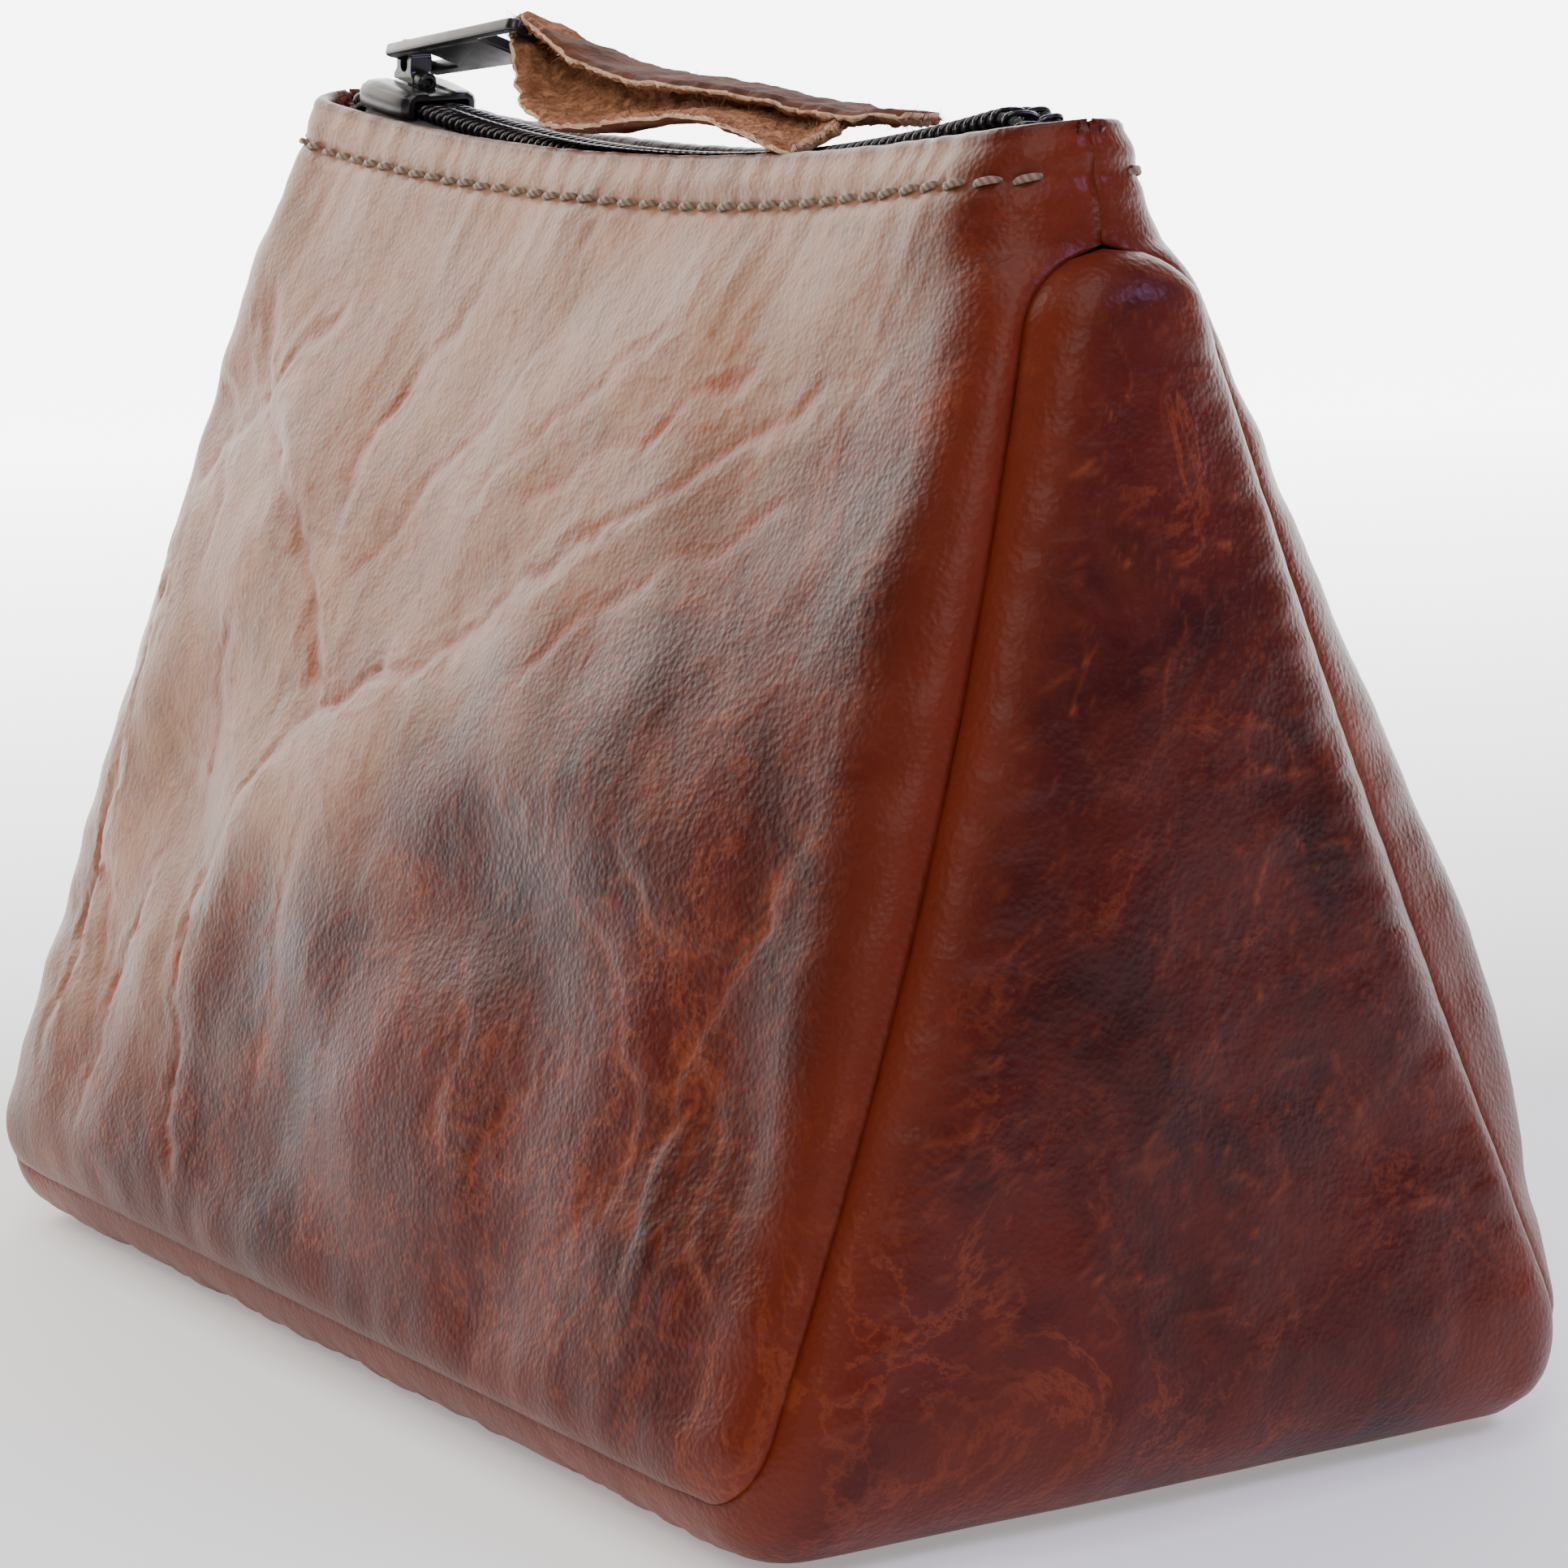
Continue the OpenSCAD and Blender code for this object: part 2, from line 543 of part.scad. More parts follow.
module pull_strap() {
    far = [for (i = [28 : -1 : 0]) let (s = leaf_start + (far_len - leaf_start) * i / 28)
        [leaf_point(s, 1), leaf_half(s), leaf_side(s)]];
    turn = [for (a = [90 : -22.5 : -90])
        [fold_at + fold_r * (sin(a) * pull_up - cos(a) * pull_dir), fold_half, pull_side]];
    near = [for (i = [0 : 22]) let (s = leaf_start + (near_len - leaf_start) * i / 22)
        [leaf_point(s, -1), leaf_half(s), leaf_side(s)]];
    path = concat(far, turn, near);
    count = len(path);
    rings = [for (k = [0 : count - 1]) let (p = path[k],
        along = unit(path[min(k + 1, count - 1)][0] - path[max(k - 1, 0)][0]),
        wide = p[2],
        up = strap_t / 2 * unit(cross(along, wide)))
        [p[0] - p[1] * wide - up, p[0] + p[1] * wide - up, p[0] + p[1] * wide + up, p[0] - p[1] * wide + up]];
    faces = concat([[0, 1, 2, 3]], [[for (i = [3 : -1 : 0]) 4 * (count - 1) + i]],
        flat1([for (k = [0 : count - 2]) for (i = [0 : 3])
            quad(4 * k + i, 4 * k + 4 + i, 4 * k + 4 + (i + 1) % 4, 4 * k + (i + 1) % 4)]));
    color([0.62, 0.40, 0.26]) polyhedron(flat1(rings), faces, convexity = 6);
}

// ---- threads ----

stitch_share = 0.72;    // share of the pitch that shows as thread
seam_depth = 1.2;       // how far inside the seam line the hidden thread runs
seam_pitch = 4;         // length of a stitch in the hidden seams

// One stitch between two points
module stitch(a, b) {
    v = b - a;
    translate(a) rotate([0, acos(v[2] / norm(v)), atan2(v[1], v[0])])
        cylinder(d = thread_d, h = norm(v), $fn = 8);
}

// Row along the front panel's top edge, half sunk in the leather
module top_row() {
    half = end_x(top_z, 0) - edge_r / 2;
    count = floor(half / stitch_pitch);
    z = top_z - stitch_drop;
    for (i = [-count : count - 1]) stitch(
        panel_point((i + (1 - stitch_share) / 2) * stitch_pitch, z, 0, mouth_half),
        panel_point((i + (1 + stitch_share) / 2) * stitch_pitch, z, 0, mouth_half));
}

// Stitch through both allowances of a seam at a place on it, given its fold
module seam_stitch(place, fold) {
    reach = seam_gap + leather_t + 0.2;
    middle = place + seam_depth * fold[0];
    stitch(middle - reach * fold[1], middle + reach * fold[1]);
}

module gusset_row() {
    half = seam_x(seam_z(0), 0);
    across = floor(2 * half / seam_pitch);
    for (i = [0 : across]) let (x = -half + 2 * half * i / across) seam_stitch([x, -seam_y(seam_z(0), 0), seam_z(0)],
        seam_fold([x, 0, 0], seam_z(0), 0, [1, 0, 0], true));
    low = seam_z(0) + rise_r;
    high = tip_z - tip_r;
    up = floor((high - low) / seam_pitch);
    d = 0.5;
    for (side = [-1, 1]) for (i = [0 : up]) let (z = low + (high - low) * i / up,
        place = [side * seam_x(z, 0), -seam_y(z, 0), z],
        along = unit(side * [side * (seam_x(z + d, 0) - seam_x(z - d, 0)), seam_y(z - d, 0) - seam_y(z + d, 0), 2 * d]))
        seam_stitch(place, seam_fold(place, z, 0, along, false));
}

module side_row(side) {
    count = floor((top_z - tip_z - 2) / seam_pitch);
    for (i = [1 : count]) let (z = tip_z + i * seam_pitch, place = [side * seam_x(z, 0), 0, z])
        seam_stitch(place, seam_fold(place, z, 0, [0, 0, 1], false));
}

module front_top_stitching() {
    color(thread_tan) top_row();
}
module back_top_stitching() {
    color(thread_tan) mirror([0, 1, 0]) top_row();
}
module front_gusset_thread() {
    color(thread_tan) gusset_row();
}
module back_gusset_thread() {
    color(thread_tan) mirror([0, 1, 0]) gusset_row();
}
module left_side_thread() {
    color(thread_tan) side_row(-1);
}
module right_side_thread() {
    color(thread_tan) side_row(1);
}

front_panel();
back_panel();
gusset_strip();
front_lining();
back_lining();
gusset_lining();
front_zip_tape();
back_zip_tape();
front_zip_coil();
back_zip_coil();
front_coil_cord();
back_coil_cord();
slider_body();
slider_crown();
puller();
pull_strap();
front_top_stitching();
back_top_stitching();
front_gusset_thread();
back_gusset_thread();
left_side_thread();
right_side_thread();
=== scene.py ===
import math

import bmesh
import bpy
import numpy as np
from mathutils import Matrix, Vector


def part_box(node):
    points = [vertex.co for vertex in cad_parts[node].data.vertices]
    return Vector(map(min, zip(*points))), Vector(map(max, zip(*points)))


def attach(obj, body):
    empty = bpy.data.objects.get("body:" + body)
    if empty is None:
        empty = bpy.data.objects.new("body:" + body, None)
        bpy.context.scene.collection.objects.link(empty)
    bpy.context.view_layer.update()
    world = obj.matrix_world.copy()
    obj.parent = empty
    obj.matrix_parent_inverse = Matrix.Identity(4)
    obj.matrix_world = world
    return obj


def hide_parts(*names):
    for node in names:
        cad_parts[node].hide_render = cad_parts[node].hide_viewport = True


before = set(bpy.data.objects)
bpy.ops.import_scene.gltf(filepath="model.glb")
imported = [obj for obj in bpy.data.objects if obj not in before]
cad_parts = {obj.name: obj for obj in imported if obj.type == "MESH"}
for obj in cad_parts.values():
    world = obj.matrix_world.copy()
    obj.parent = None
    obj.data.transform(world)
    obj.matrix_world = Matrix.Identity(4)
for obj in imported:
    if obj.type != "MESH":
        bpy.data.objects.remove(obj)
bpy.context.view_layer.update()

mm = 0.001
panelHigh = np.array(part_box("front_panel")[1]) / mm

# shape of the bag in millimetres, laid out as the frame's own shells are
bag = {
    "seamHalf": panelHigh[0] + 0.3,    # half the length between the end seams at the base
    "seamHalfWidth": 61.0,             # half the width between the base seams
    "seamRise": 9.0,                   # height of the base seams
    "topZ": panelHigh[2],              # leather edge at the side seams
    "tipZ": 154.0,                     # tip of the gusset
    "tipR": 8.0,                       # height of its rounding
    "tipHalf": 10.0,                   # half its width
    "edgeSag": 6.5,                    # how far the middle of the top edge hangs
    "sagFrom": 60.0,                   # height above which the panels hang with it
    "lean": 13.0,                      # how far the ends lean in
    "leanPower": 2.3,                  # more keeps the foot of the ends upright
    "mouthHalf": 10.0,                 # half the width between the top edges
    "cornerR": 10.0,                   # lower corners of the end seams
    "edgeRoll": 12.0,                  # width of a panel's rolled sides
    "riseRoll": 10.0,                  # height of its rolled foot
    "lip": 4.0,                        # how far it stands out over the base seam
    "swell": 8.0,                      # belly of the panels
    "pinch": 3.0,                      # how far the end seams draw in
    "endRoll": 5.0,                    # how far the ends stand out past their seams
    "gussetRoll": 10.0,                # width of the gusset's rolled sides
    "gussetSwell": 4.0,                # belly of the pointed ends
    "leather": 1.3,                    # thickness of the leather
    "allowance": (0.5, 1.6, 3.0, 5.0), # steps of depth of the turned seam allowances
    "hemR": 1.5,                       # roll of the top edge
    "hemDepths": (2, 5, 8),            # how far it goes down inside
}
# points of the leather shells
shellSteps = {"roll": 12, "rows": 190, "cols": 210, "endRows": 150, "baseRows": 150, "stripCols": 70}
zipLine = {
    "radius": 480.0,                   # of the sagging chain
    "half": 86.0,                      # half its length between the bends
    "drop": 2.0,                       # tape under the middle of the leather edge
    "tape": 0.7,
    "coilHeight": 2.6,
    "coilIn": -0.75,                   # reach of a coil past the middle
    "coilOut": 4.0,                    # reach of a coil to its own side
    "bendR": 6.5,
    "bendAngle": math.radians(80),     # how far each end turns down
    "pitch": 2.05,
    "wire": 0.8,                       # thickness of the coil's monofilament
    "threads": 9,                      # loose ones at each cut end of a tape
}


def smooth(t):
    t = np.clip(t, 0, 1)
    return t * t * (3 - 2 * t)


def bump(d):
    return np.exp(-d * d)


def unit(vectors):
    return vectors / np.linalg.norm(vectors, axis=-1)[..., None]


# length along a path up to each of its points
def reachAlong(path):
    return np.concatenate([[0], np.cumsum(np.linalg.norm(np.diff(path, axis=0), axis=1))])


# seeded gradient noise over two coordinates
class Grain:
    def __init__(self, seed):
        draw = np.random.RandomState(seed)
        self.order = draw.permutation(512)
        self.turn = draw.uniform(0, 2 * math.pi, 512)

    def corner(self, ix, iy):
        return self.turn[self.order[(ix * 73 + self.order[iy % 512]) % 512]]

    def at(self, x, y):
        x, y = np.broadcast_arrays(np.asarray(x, float), np.asarray(y, float))
        ix, iy = np.floor(x).astype(int), np.floor(y).astype(int)
        fx, fy = x - ix, y - iy
        total = 0
        for cx in (0, 1):
            for cy in (0, 1):
                turn = self.corner(ix + cx, iy + cy)
                lean = np.cos(turn) * (fx - cx) + np.sin(turn) * (fy - cy)
                share = (smooth(fx) if cx else 1 - smooth(fx)) * (smooth(fy) if cy else 1 - smooth(fy))
                total = total + share * lean
        return total * 1.5


# depth and colour of creases along listed routes: (points, width, depth)
def routeField(x, z, routes, warp):
    depth, tint = np.zeros_like(x), np.zeros_like(x)
    # the routes wander a little, so none is a clean curve
    wx = x + 2.6 * warp.at(x / 11, z / 11) + 0.9 * warp.at(x / 3.5 + 40, z / 3.5)
    wz = z + 2.6 * warp.at(x / 11 + 70, z / 11) + 0.9 * warp.at(x / 3.5, z / 3.5 + 40)
    for points, width, deep in routes:
        points = np.array(points, float)
        starts = reachAlong(points)
        legs = np.diff(starts)
        best, along, side = np.full(x.shape, 1e9), np.zeros_like(x), np.zeros_like(x)
        for k, leg in enumerate(legs):
            a, v = points[k], points[k + 1] - points[k]
            t = np.clip(((wx - a[0]) * v[0] + (wz - a[1]) * v[1]) / (v @ v), 0, 1)
            dx, dz = wx - a[0] - t * v[0], wz - a[1] - t * v[1]
            d = np.hypot(dx, dz)
            near = d < best
            best = np.where(near, d, best)
            along = np.where(near, starts[k] + t * leg, along)
            side = np.where(near, np.sign(v[0] * dz - v[1] * dx), side)
        share = along / starts[-1]
        fade = smooth(share / 0.18) * smooth((1 - share) / 0.18)
        fade = fade * (0.75 + 0.5 * warp.at(along / 9, deep * 10 + 0 * along))
        signed = best * side
        streak = warp.at(along / 7 + 3, signed / (0.75 * width))
        streak = streak + 0.6 * warp.at(along / 4, signed / (0.4 * width) + 30)
        groove = bump(best / (0.8 * width))
        valley = bump(best / (4.2 * width))
        step = side * (best / (3.5 * width)) * bump(best / (5.5 * width))
        ridge = bump((best - 2.2 * width) / (1.2 * width)) * np.where(side > 0, 1.0, 0.35)
        depth += deep * fade * (-0.50 * groove - 0.50 * valley + 0.55 * step + 0.22 * ridge
                                + 0.30 * streak * bump(best / (3.6 * width)))
        line = 0.55 * bump(best / (1.0 * width))
        hatching = 1.1 * np.clip(streak - 0.12, 0, 1) * bump(best / (4.5 * width))
        tint += fade * min(1, 0.35 + deep) * (line + hatching)
    return depth, tint


# outline of the bag: ends, seams, flanks and the hang of the top edge
def endX(z):
    return bag["seamHalf"] - bag["lean"] * (np.maximum(z, 0) / bag["topZ"]) ** bag["leanPower"]


def seamX(z):
    up = bag["seamRise"] + bag["cornerR"] - z
    cut = bag["cornerR"] - np.sqrt(np.maximum(0, bag["cornerR"] ** 2 - np.maximum(up, 0) ** 2))
    return endX(z) - np.where(up > 0, cut, 0)


def tipRound(z):
    over = np.clip((z - bag["tipZ"] + bag["tipR"]) / bag["tipR"], 0, 1)
    return np.sqrt(1 - over ** 2)


def seamY(z):
    s = (z - bag["seamRise"]) / (bag["tipZ"] - bag["seamRise"])
    half = bag["seamHalfWidth"] - (bag["seamHalfWidth"] - bag["tipHalf"]) * s
    return tipRound(z) * (half - bag["pinch"] * np.sin(np.pi * np.clip(s, 0, 1)))


def panelY(x, z):
    s = (z - bag["seamRise"]) / (bag["topZ"] - bag["seamRise"])
    rise = np.sqrt(1 - np.clip(1 - (z - bag["seamRise"]) / bag["riseRoll"], 0, 1) ** 2)
    flank = bag["seamHalfWidth"] * (1 - s) + (bag["mouthHalf"] - bag["lip"]) * s + bag["lip"] * rise
    out = np.clip((np.abs(x) - seamX(z) + bag["edgeRoll"]) / bag["edgeRoll"], 0, 1)
    u = np.clip(np.abs(x) / seamX(z), 0, 1)
    belly = bag["swell"] * np.sin(np.pi * np.clip(s, 0, 1) ** 0.8) * (1 - u ** 2)
    return seamY(z) + (flank - seamY(z)) * np.sqrt(1 - out ** 2) + belly


def sagged(x, z):
    dip = np.maximum(0, 1 - (x / endX(bag["topZ"])) ** 2)
    return z - bag["edgeSag"] * dip * np.maximum(0, z - bag["sagFrom"]) / (bag["topZ"] - bag["sagFrom"])


# meshes from grids of points
def makeMesh(name, points, faces, attributes=None):
    mesh = bpy.data.meshes.new(name)
    mesh.from_pydata((np.asarray(points) * mm).tolist(), [], faces)
    mesh.validate()
    for key, values in (attributes or {}).items():
        layer = mesh.attributes.new(key, "FLOAT", "POINT")
        layer.data.foreach_set("value", np.asarray(values, np.float32))
    mesh.shade_smooth()
    piece = bpy.data.objects.new(name, mesh)
    bpy.context.collection.objects.link(piece)
    return piece


def gridFaces(rows, cols, flip=False, wrapCols=False):
    faces = []
    for r in range(rows - 1):
        for c in range(cols if wrapCols else cols - 1):
            n = (c + 1) % cols
            quad = [r * cols + c, r * cols + n, (r + 1) * cols + n, (r + 1) * cols + c]
            faces.append(quad[::-1] if flip else quad)
    return faces


# flat faces over the first and the last ring of a loft
def endFaces(rings, sides):
    return [list(range(sides))[::-1], [(rings - 1) * sides + k for k in range(sides)]]


# tube along a path; radius is one value, or a value for each point
def sweep(path, normals, sides, radius):
    path, normals = np.asarray(path, float), np.asarray(normals, float)
    along = unit(np.gradient(path, axis=0))
    normals = unit(normals - (normals * along).sum(1)[:, None] * along)
    binormals = np.cross(along, normals)
    turn = np.linspace(0, 2 * math.pi, sides, endpoint=False)[None, :, None]
    radius = np.broadcast_to(radius, len(path))[:, None, None]
    points = path[:, None] + radius * (np.cos(turn) * normals[:, None] + np.sin(turn) * binormals[:, None])
    return points.reshape(-1, 3), gridFaces(len(path), sides, wrapCols=True) + endFaces(len(path), sides)


# closed rings of points joined in order, with flat ends
def loft(rings):
    sides = len(rings[0])
    return np.vstack(rings), gridFaces(len(rings), sides, wrapCols=True) + endFaces(len(rings), sides)


def joined(parts):
    points, faces, count = [], [], 0
    for p, f in parts:
        points.append(p)
        faces += [[k + count for k in face] for face in f]
        count += len(p)
    return np.vstack(points), faces


def outwardFaces(piece):
    mesh = bmesh.new()
    mesh.from_mesh(piece.data)
    bmesh.ops.recalc_face_normals(mesh, faces=mesh.faces)
    mesh.to_mesh(piece.data)
    mesh.free()
    return piece


# turns the faces over if the one nearest to a place looks the wrong way
def faceTowards(piece, near, way):
    centre = Vector(near) * mm
    face = min(piece.data.polygons, key=lambda p: (p.center - centre).length)
    if face.normal.dot(Vector(way)) < 0:
        piece.data.flip_normals()


def thicken(piece, thickness):
    shell = piece.modifiers.new("thickness", "SOLIDIFY")
    shell.thickness = thickness * mm
    shell.offset = -1
    shell.use_even_offset = False
    shell.use_quality_normals = True


def dress(piece, material):
    piece.data.materials.clear()
    piece.data.materials.append(material)


def finishPiece(piece, body, slot, material, *nodes):
    dress(piece, material)
    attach(piece, body)
    if nodes:
        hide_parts(*nodes)


# short way to lay out a procedural material
class Nodes:
    def __init__(self, name):
        self.material = bpy.data.materials.new(name)
        self.material.use_nodes = True
        self.tree = self.material.node_tree
        self.shader = self.tree.nodes["Principled BSDF"]
        self.place = self.add("ShaderNodeTexCoord").outputs["Object"]

    def add(self, kind, **settings):
        node = self.tree.nodes.new(kind)
        for key, value in settings.items():
            if key in node.inputs:
                node.inputs[key].default_value = value
            else:
                setattr(node, key, value)
        return node

    def link(self, source, target):
        self.tree.links.new(source, target)

    def noise(self, scale, detail=4.0, rough=0.55, distortion=0.0):
        node = self.add("ShaderNodeTexNoise")
        settings = {"Scale": scale, "Detail": detail, "Roughness": rough, "Distortion": distortion}
        for key, value in settings.items():
            node.inputs[key].default_value = value
        self.link(self.place, node.inputs["Vector"])
        return node.outputs["Fac"]

    def cells(self, scale, feature="F1", smoothness=0.0):
        node = self.add("ShaderNodeTexVoronoi", feature=feature)
        node.inputs["Scale"].default_value = scale
        if feature == "SMOOTH_F1":
            node.inputs["Smoothness"].default_value = smoothness
        self.link(self.place, node.inputs["Vector"])
        return node.outputs["Distance"]

    # two or more stops of (place, grey)
    def ramp(self, source, stops):
        node = self.add("ShaderNodeValToRGB")
        ramp = node.color_ramp
        while len(ramp.elements) < len(stops):
            ramp.elements.new(0.5)
        for element, (where, value) in zip(ramp.elements, stops):
            element.position = where
            element.color = (value, value, value, 1)
        self.link(source, node.inputs["Fac"])
        return node.outputs["Color"]

    def mix(self, share, a, b):
        node = self.add("ShaderNodeMix", data_type="RGBA", blend_type="MIX")
        for socket, value in ((node.inputs[0], share), (node.inputs[6], a), (node.inputs[7], b)):
            if isinstance(value, (int, float)):
                socket.default_value = value
            elif isinstance(value, (tuple, list)):
                socket.default_value = (*value, 1)
            else:
                self.link(value, socket)
        return node.outputs[2]

    def math(self, operation, a, b=0.0, clamp=False, c=0.0):
        node = self.add("ShaderNodeMath", operation=operation, use_clamp=clamp)
        for socket, value in zip(node.inputs, (a, b, c)):
            if isinstance(value, (int, float)):
                socket.default_value = value
            else:
                self.link(value, socket)
        return node.outputs[0]

    def attribute(self, name):
        return self.add("ShaderNodeAttribute", attribute_name=name).outputs["Fac"]

    # chain of bumps: (height, strength, distance in metres)
    def bump(self, layers):
        normal = None
        for height, strength, distance in layers:
            node = self.add("ShaderNodeBump")
            node.inputs["Strength"].default_value = strength
            node.inputs["Distance"].default_value = distance
            self.link(height, node.inputs["Height"])
            if normal:
                self.link(normal, node.inputs["Normal"])
            normal = node.outputs["Normal"]
        self.link(normal, self.shader.inputs["Normal"])

    def set(self, **values):
        for key, value in values.items():
            socket = self.shader.inputs[key.replace("_", " ")]
            if hasattr(value, "is_output"):
                self.link(value, socket)
            elif isinstance(value, tuple) and len(value) == 3 and socket.type == "RGBA":
                socket.default_value = (*value, 1)
            else:
                socket.default_value = value
        return self.material


leatherLook = {
    "deep": (0.030, 0.0030, 0.0022),   # oil-dark patches
    "body": (0.085, 0.0080, 0.0042),   # the hide's own red-brown
    "warm": (0.150, 0.020, 0.0060),    # where the hide is stretched
    "pulled": (0.255, 0.052, 0.016),   # pull-up lines in creases
    "bloomSheen": (0.400, 0.205, 0.118),    # waxy bloom on the upper front, partly a painted sheen of the light from the left
    "creaseInSheen": (0.330, 0.080, 0.028),    # creases in the bloom and its painted sheen
    "roughness": 0.40,
}


def oiledLeather():
    n = Nodes("oiledLeather")
    look = leatherLook
    crease = n.attribute("crease")
    bloomSheen = n.attribute("bloomSheen")
    warm = n.attribute("warm")
    patch = n.noise(22, 5, 0.6, 0.8)
    mottle = n.noise(75, 6, 0.65, 0.4)
    color = n.mix(n.ramp(patch, [(0.36, 1.0), (0.62, 0.0)]), look["body"], look["deep"])
    fleck = n.math("MULTIPLY", n.ramp(mottle, [(0.45, 0.0), (0.75, 1.0)]), 0.45)
    color = n.mix(fleck, color, look["warm"])
    color = n.mix(warm, color, look["warm"])
    # broken, branching pull-up lines
    web = n.noise(34, 9, 0.68, 0.6)
    thread = n.math("ABSOLUTE", n.math("SUBTRACT", web, 0.5))
    dry = n.ramp(patch, [(0.42, 0.0), (0.60, 1.0)])
    lines = n.math("MULTIPLY", n.ramp(thread, [(0.0, 0.45), (0.020, 0.0)]), dry)
    color = n.mix(lines, color, look["pulled"])
    # lighter waxy bloom on the upper front, partly a painted sheen standing in for the reflection of the
    # light from the left
    waxAndSheen = n.math("MULTIPLY", bloomSheen, n.ramp(mottle, [(0.30, 0.42), (0.68, 0.94)]), True)
    color = n.mix(waxAndSheen, color, look["bloomSheen"])
    # pull-up lines, lighter where they cross the painted sheen
    line = n.mix(bloomSheen, look["pulled"], look["creaseInSheen"])
    broken = n.ramp(mottle, [(0.3, 0.6), (0.6, 1.0)])
    color = n.mix(n.math("MULTIPLY", crease, broken, True), color, line)
    grain = n.cells(1150, "SMOOTH_F1", smoothness=0.35)
    pores = n.noise(2600, 2, 0.5)
    veins = n.noise(330, 5, 0.65, 1.2)
    roughness = n.math("ADD", n.math("MULTIPLY", mottle, 0.22), look["roughness"] - 0.11)
    roughness = n.math("ADD", roughness, n.math("MULTIPLY", bloomSheen, 0.07), True)
    n.bump([(veins, 0.26, 0.0004), (grain, 0.42, 0.00022), (pores, 0.30, 0.00010)])
    gloss = n.math("ADD", n.math("MULTIPLY", bloomSheen, 0.14), 0.18)
    return n.set(Base_Color=color, Roughness=roughness, Coat_Weight=0.03, Coat_Roughness=0.24,
                 Specular_IOR_Level=gloss)


def wovenCloth(name, dark, light, pitch, roughness=0.85):
    n = Nodes(name)
    warp = n.add("ShaderNodeTexWave", wave_type="BANDS", bands_direction="X")
    weft = n.add("ShaderNodeTexWave", wave_type="BANDS", bands_direction="Z")
    for wave in (warp, weft):
        wave.inputs["Scale"].default_value = 0.314 / pitch
        n.link(n.place, wave.inputs["Vector"])
    weave = n.math("MULTIPLY", warp.outputs["Fac"], weft.outputs["Fac"])
    lint = n.noise(500, 3)
    n.bump([(weave, 0.6, 0.0003), (lint, 0.2, 0.0001)])
    color = n.mix(n.math("MULTIPLY", weave, n.ramp(lint, [(0.3, 0.5), (0.7, 1.0)])), dark, light)
    return n.set(Base_Color=color, Roughness=roughness, Sheen_Weight=0.2)


def coilPlastic():
    n = Nodes("coilPlastic")
    dust = n.noise(900, 4, 0.6)
    color = n.mix(n.ramp(dust, [(0.5, 0.0), (0.72, 0.35)]), (0.012, 0.008, 0.011), (0.09, 0.075, 0.075))
    n.bump([(n.noise(2500, 2), 0.12, 0.00005)])
    roughness = n.ramp(dust, [(0.35, 0.16), (0.75, 0.4)])
    return n.set(Base_Color=color, Roughness=roughness, Coat_Weight=0.3, Coat_Roughness=0.1)


def blackMetal():
    n = Nodes("blackMetal")
    wear = n.add("ShaderNodeNewGeometry").outputs["Pointiness"]
    scuff = n.noise(420, 5, 0.6)
    rubbed = n.ramp(scuff, [(0.40, 0.1), (0.62, 1.0)])
    edge = n.math("MULTIPLY", n.ramp(wear, [(0.56, 0.0), (0.68, 0.8)]), rubbed)
    color = n.mix(edge, (0.008, 0.007, 0.008), (0.15, 0.135, 0.125))
    n.bump([(scuff, 0.05, 0.00006), (n.noise(2400, 2), 0.04, 0.00003)])
    roughness = n.ramp(scuff, [(0.3, 0.26), (0.7, 0.40)])
    return n.set(Base_Color=color, Roughness=roughness, Coat_Weight=0.15, Coat_Roughness=0.12,
                 Specular_IOR_Level=0.40)


def suede():
    n = Nodes("suede")
    nap = n.noise(700, 6, 0.7, 0.6)
    patch = n.noise(120, 4, 0.6, 0.5)
    color = n.mix(n.ramp(nap, [(0.38, 0.0), (0.62, 1.0)]), (0.190, 0.064, 0.026), (0.640, 0.300, 0.150))
    color = n.mix(n.ramp(patch, [(0.40, 0.6), (0.60, 0.0)]), color, (0.210, 0.070, 0.030))
    n.bump([(patch, 0.8, 0.0016), (nap, 1.0, 0.0009)])
    return n.set(Base_Color=color, Roughness=1.0, Sheen_Weight=0.12, Sheen_Roughness=0.5,
                 Sheen_Tint=(0.9, 0.62, 0.45), Specular_IOR_Level=0.1)


def strapGrain():
    n = Nodes("strapGrain")
    mottle = n.noise(160, 5, 0.6)
    color = n.mix(n.ramp(mottle, [(0.35, 0.0), (0.7, 1.0)]), (0.062, 0.017, 0.008), (0.170, 0.058, 0.026))
    n.bump([(n.noise(420, 5, 0.65, 1.0), 0.5, 0.0004), (n.cells(1200), 0.4, 0.00018)])
    return n.set(Base_Color=color, Roughness=0.80, Specular_IOR_Level=0.12)


def cutEdge():
    n = Nodes("cutEdge")
    fibre = n.noise(900, 5, 0.7)
    color = n.mix(n.ramp(fibre, [(0.3, 0.0), (0.7, 1.0)]), (0.36, 0.19, 0.10), (0.80, 0.55, 0.37))
    n.bump([(fibre, 0.6, 0.0003)])
    return n.set(Base_Color=color, Roughness=0.95)


def waxedThread():
    n = Nodes("waxedThread")
    ply = n.add("ShaderNodeTexWave", wave_type="BANDS", bands_direction="DIAGONAL")
    ply.inputs["Scale"].default_value = 420
    ply.inputs["Distortion"].default_value = 1.2
    n.link(n.place, ply.inputs["Vector"])
    fuzz = n.noise(1500, 4)
    color = n.mix(ply.outputs["Fac"], (0.110, 0.064, 0.040), (0.285, 0.195, 0.130))
    color = n.mix(n.math("MULTIPLY", fuzz, 0.4), color, (0.17, 0.11, 0.07))
    n.bump([(ply.outputs["Fac"], 0.7, 0.0002), (fuzz, 0.3, 0.0001)])
    return n.set(Base_Color=color, Roughness=0.62, Sheen_Weight=0.2)


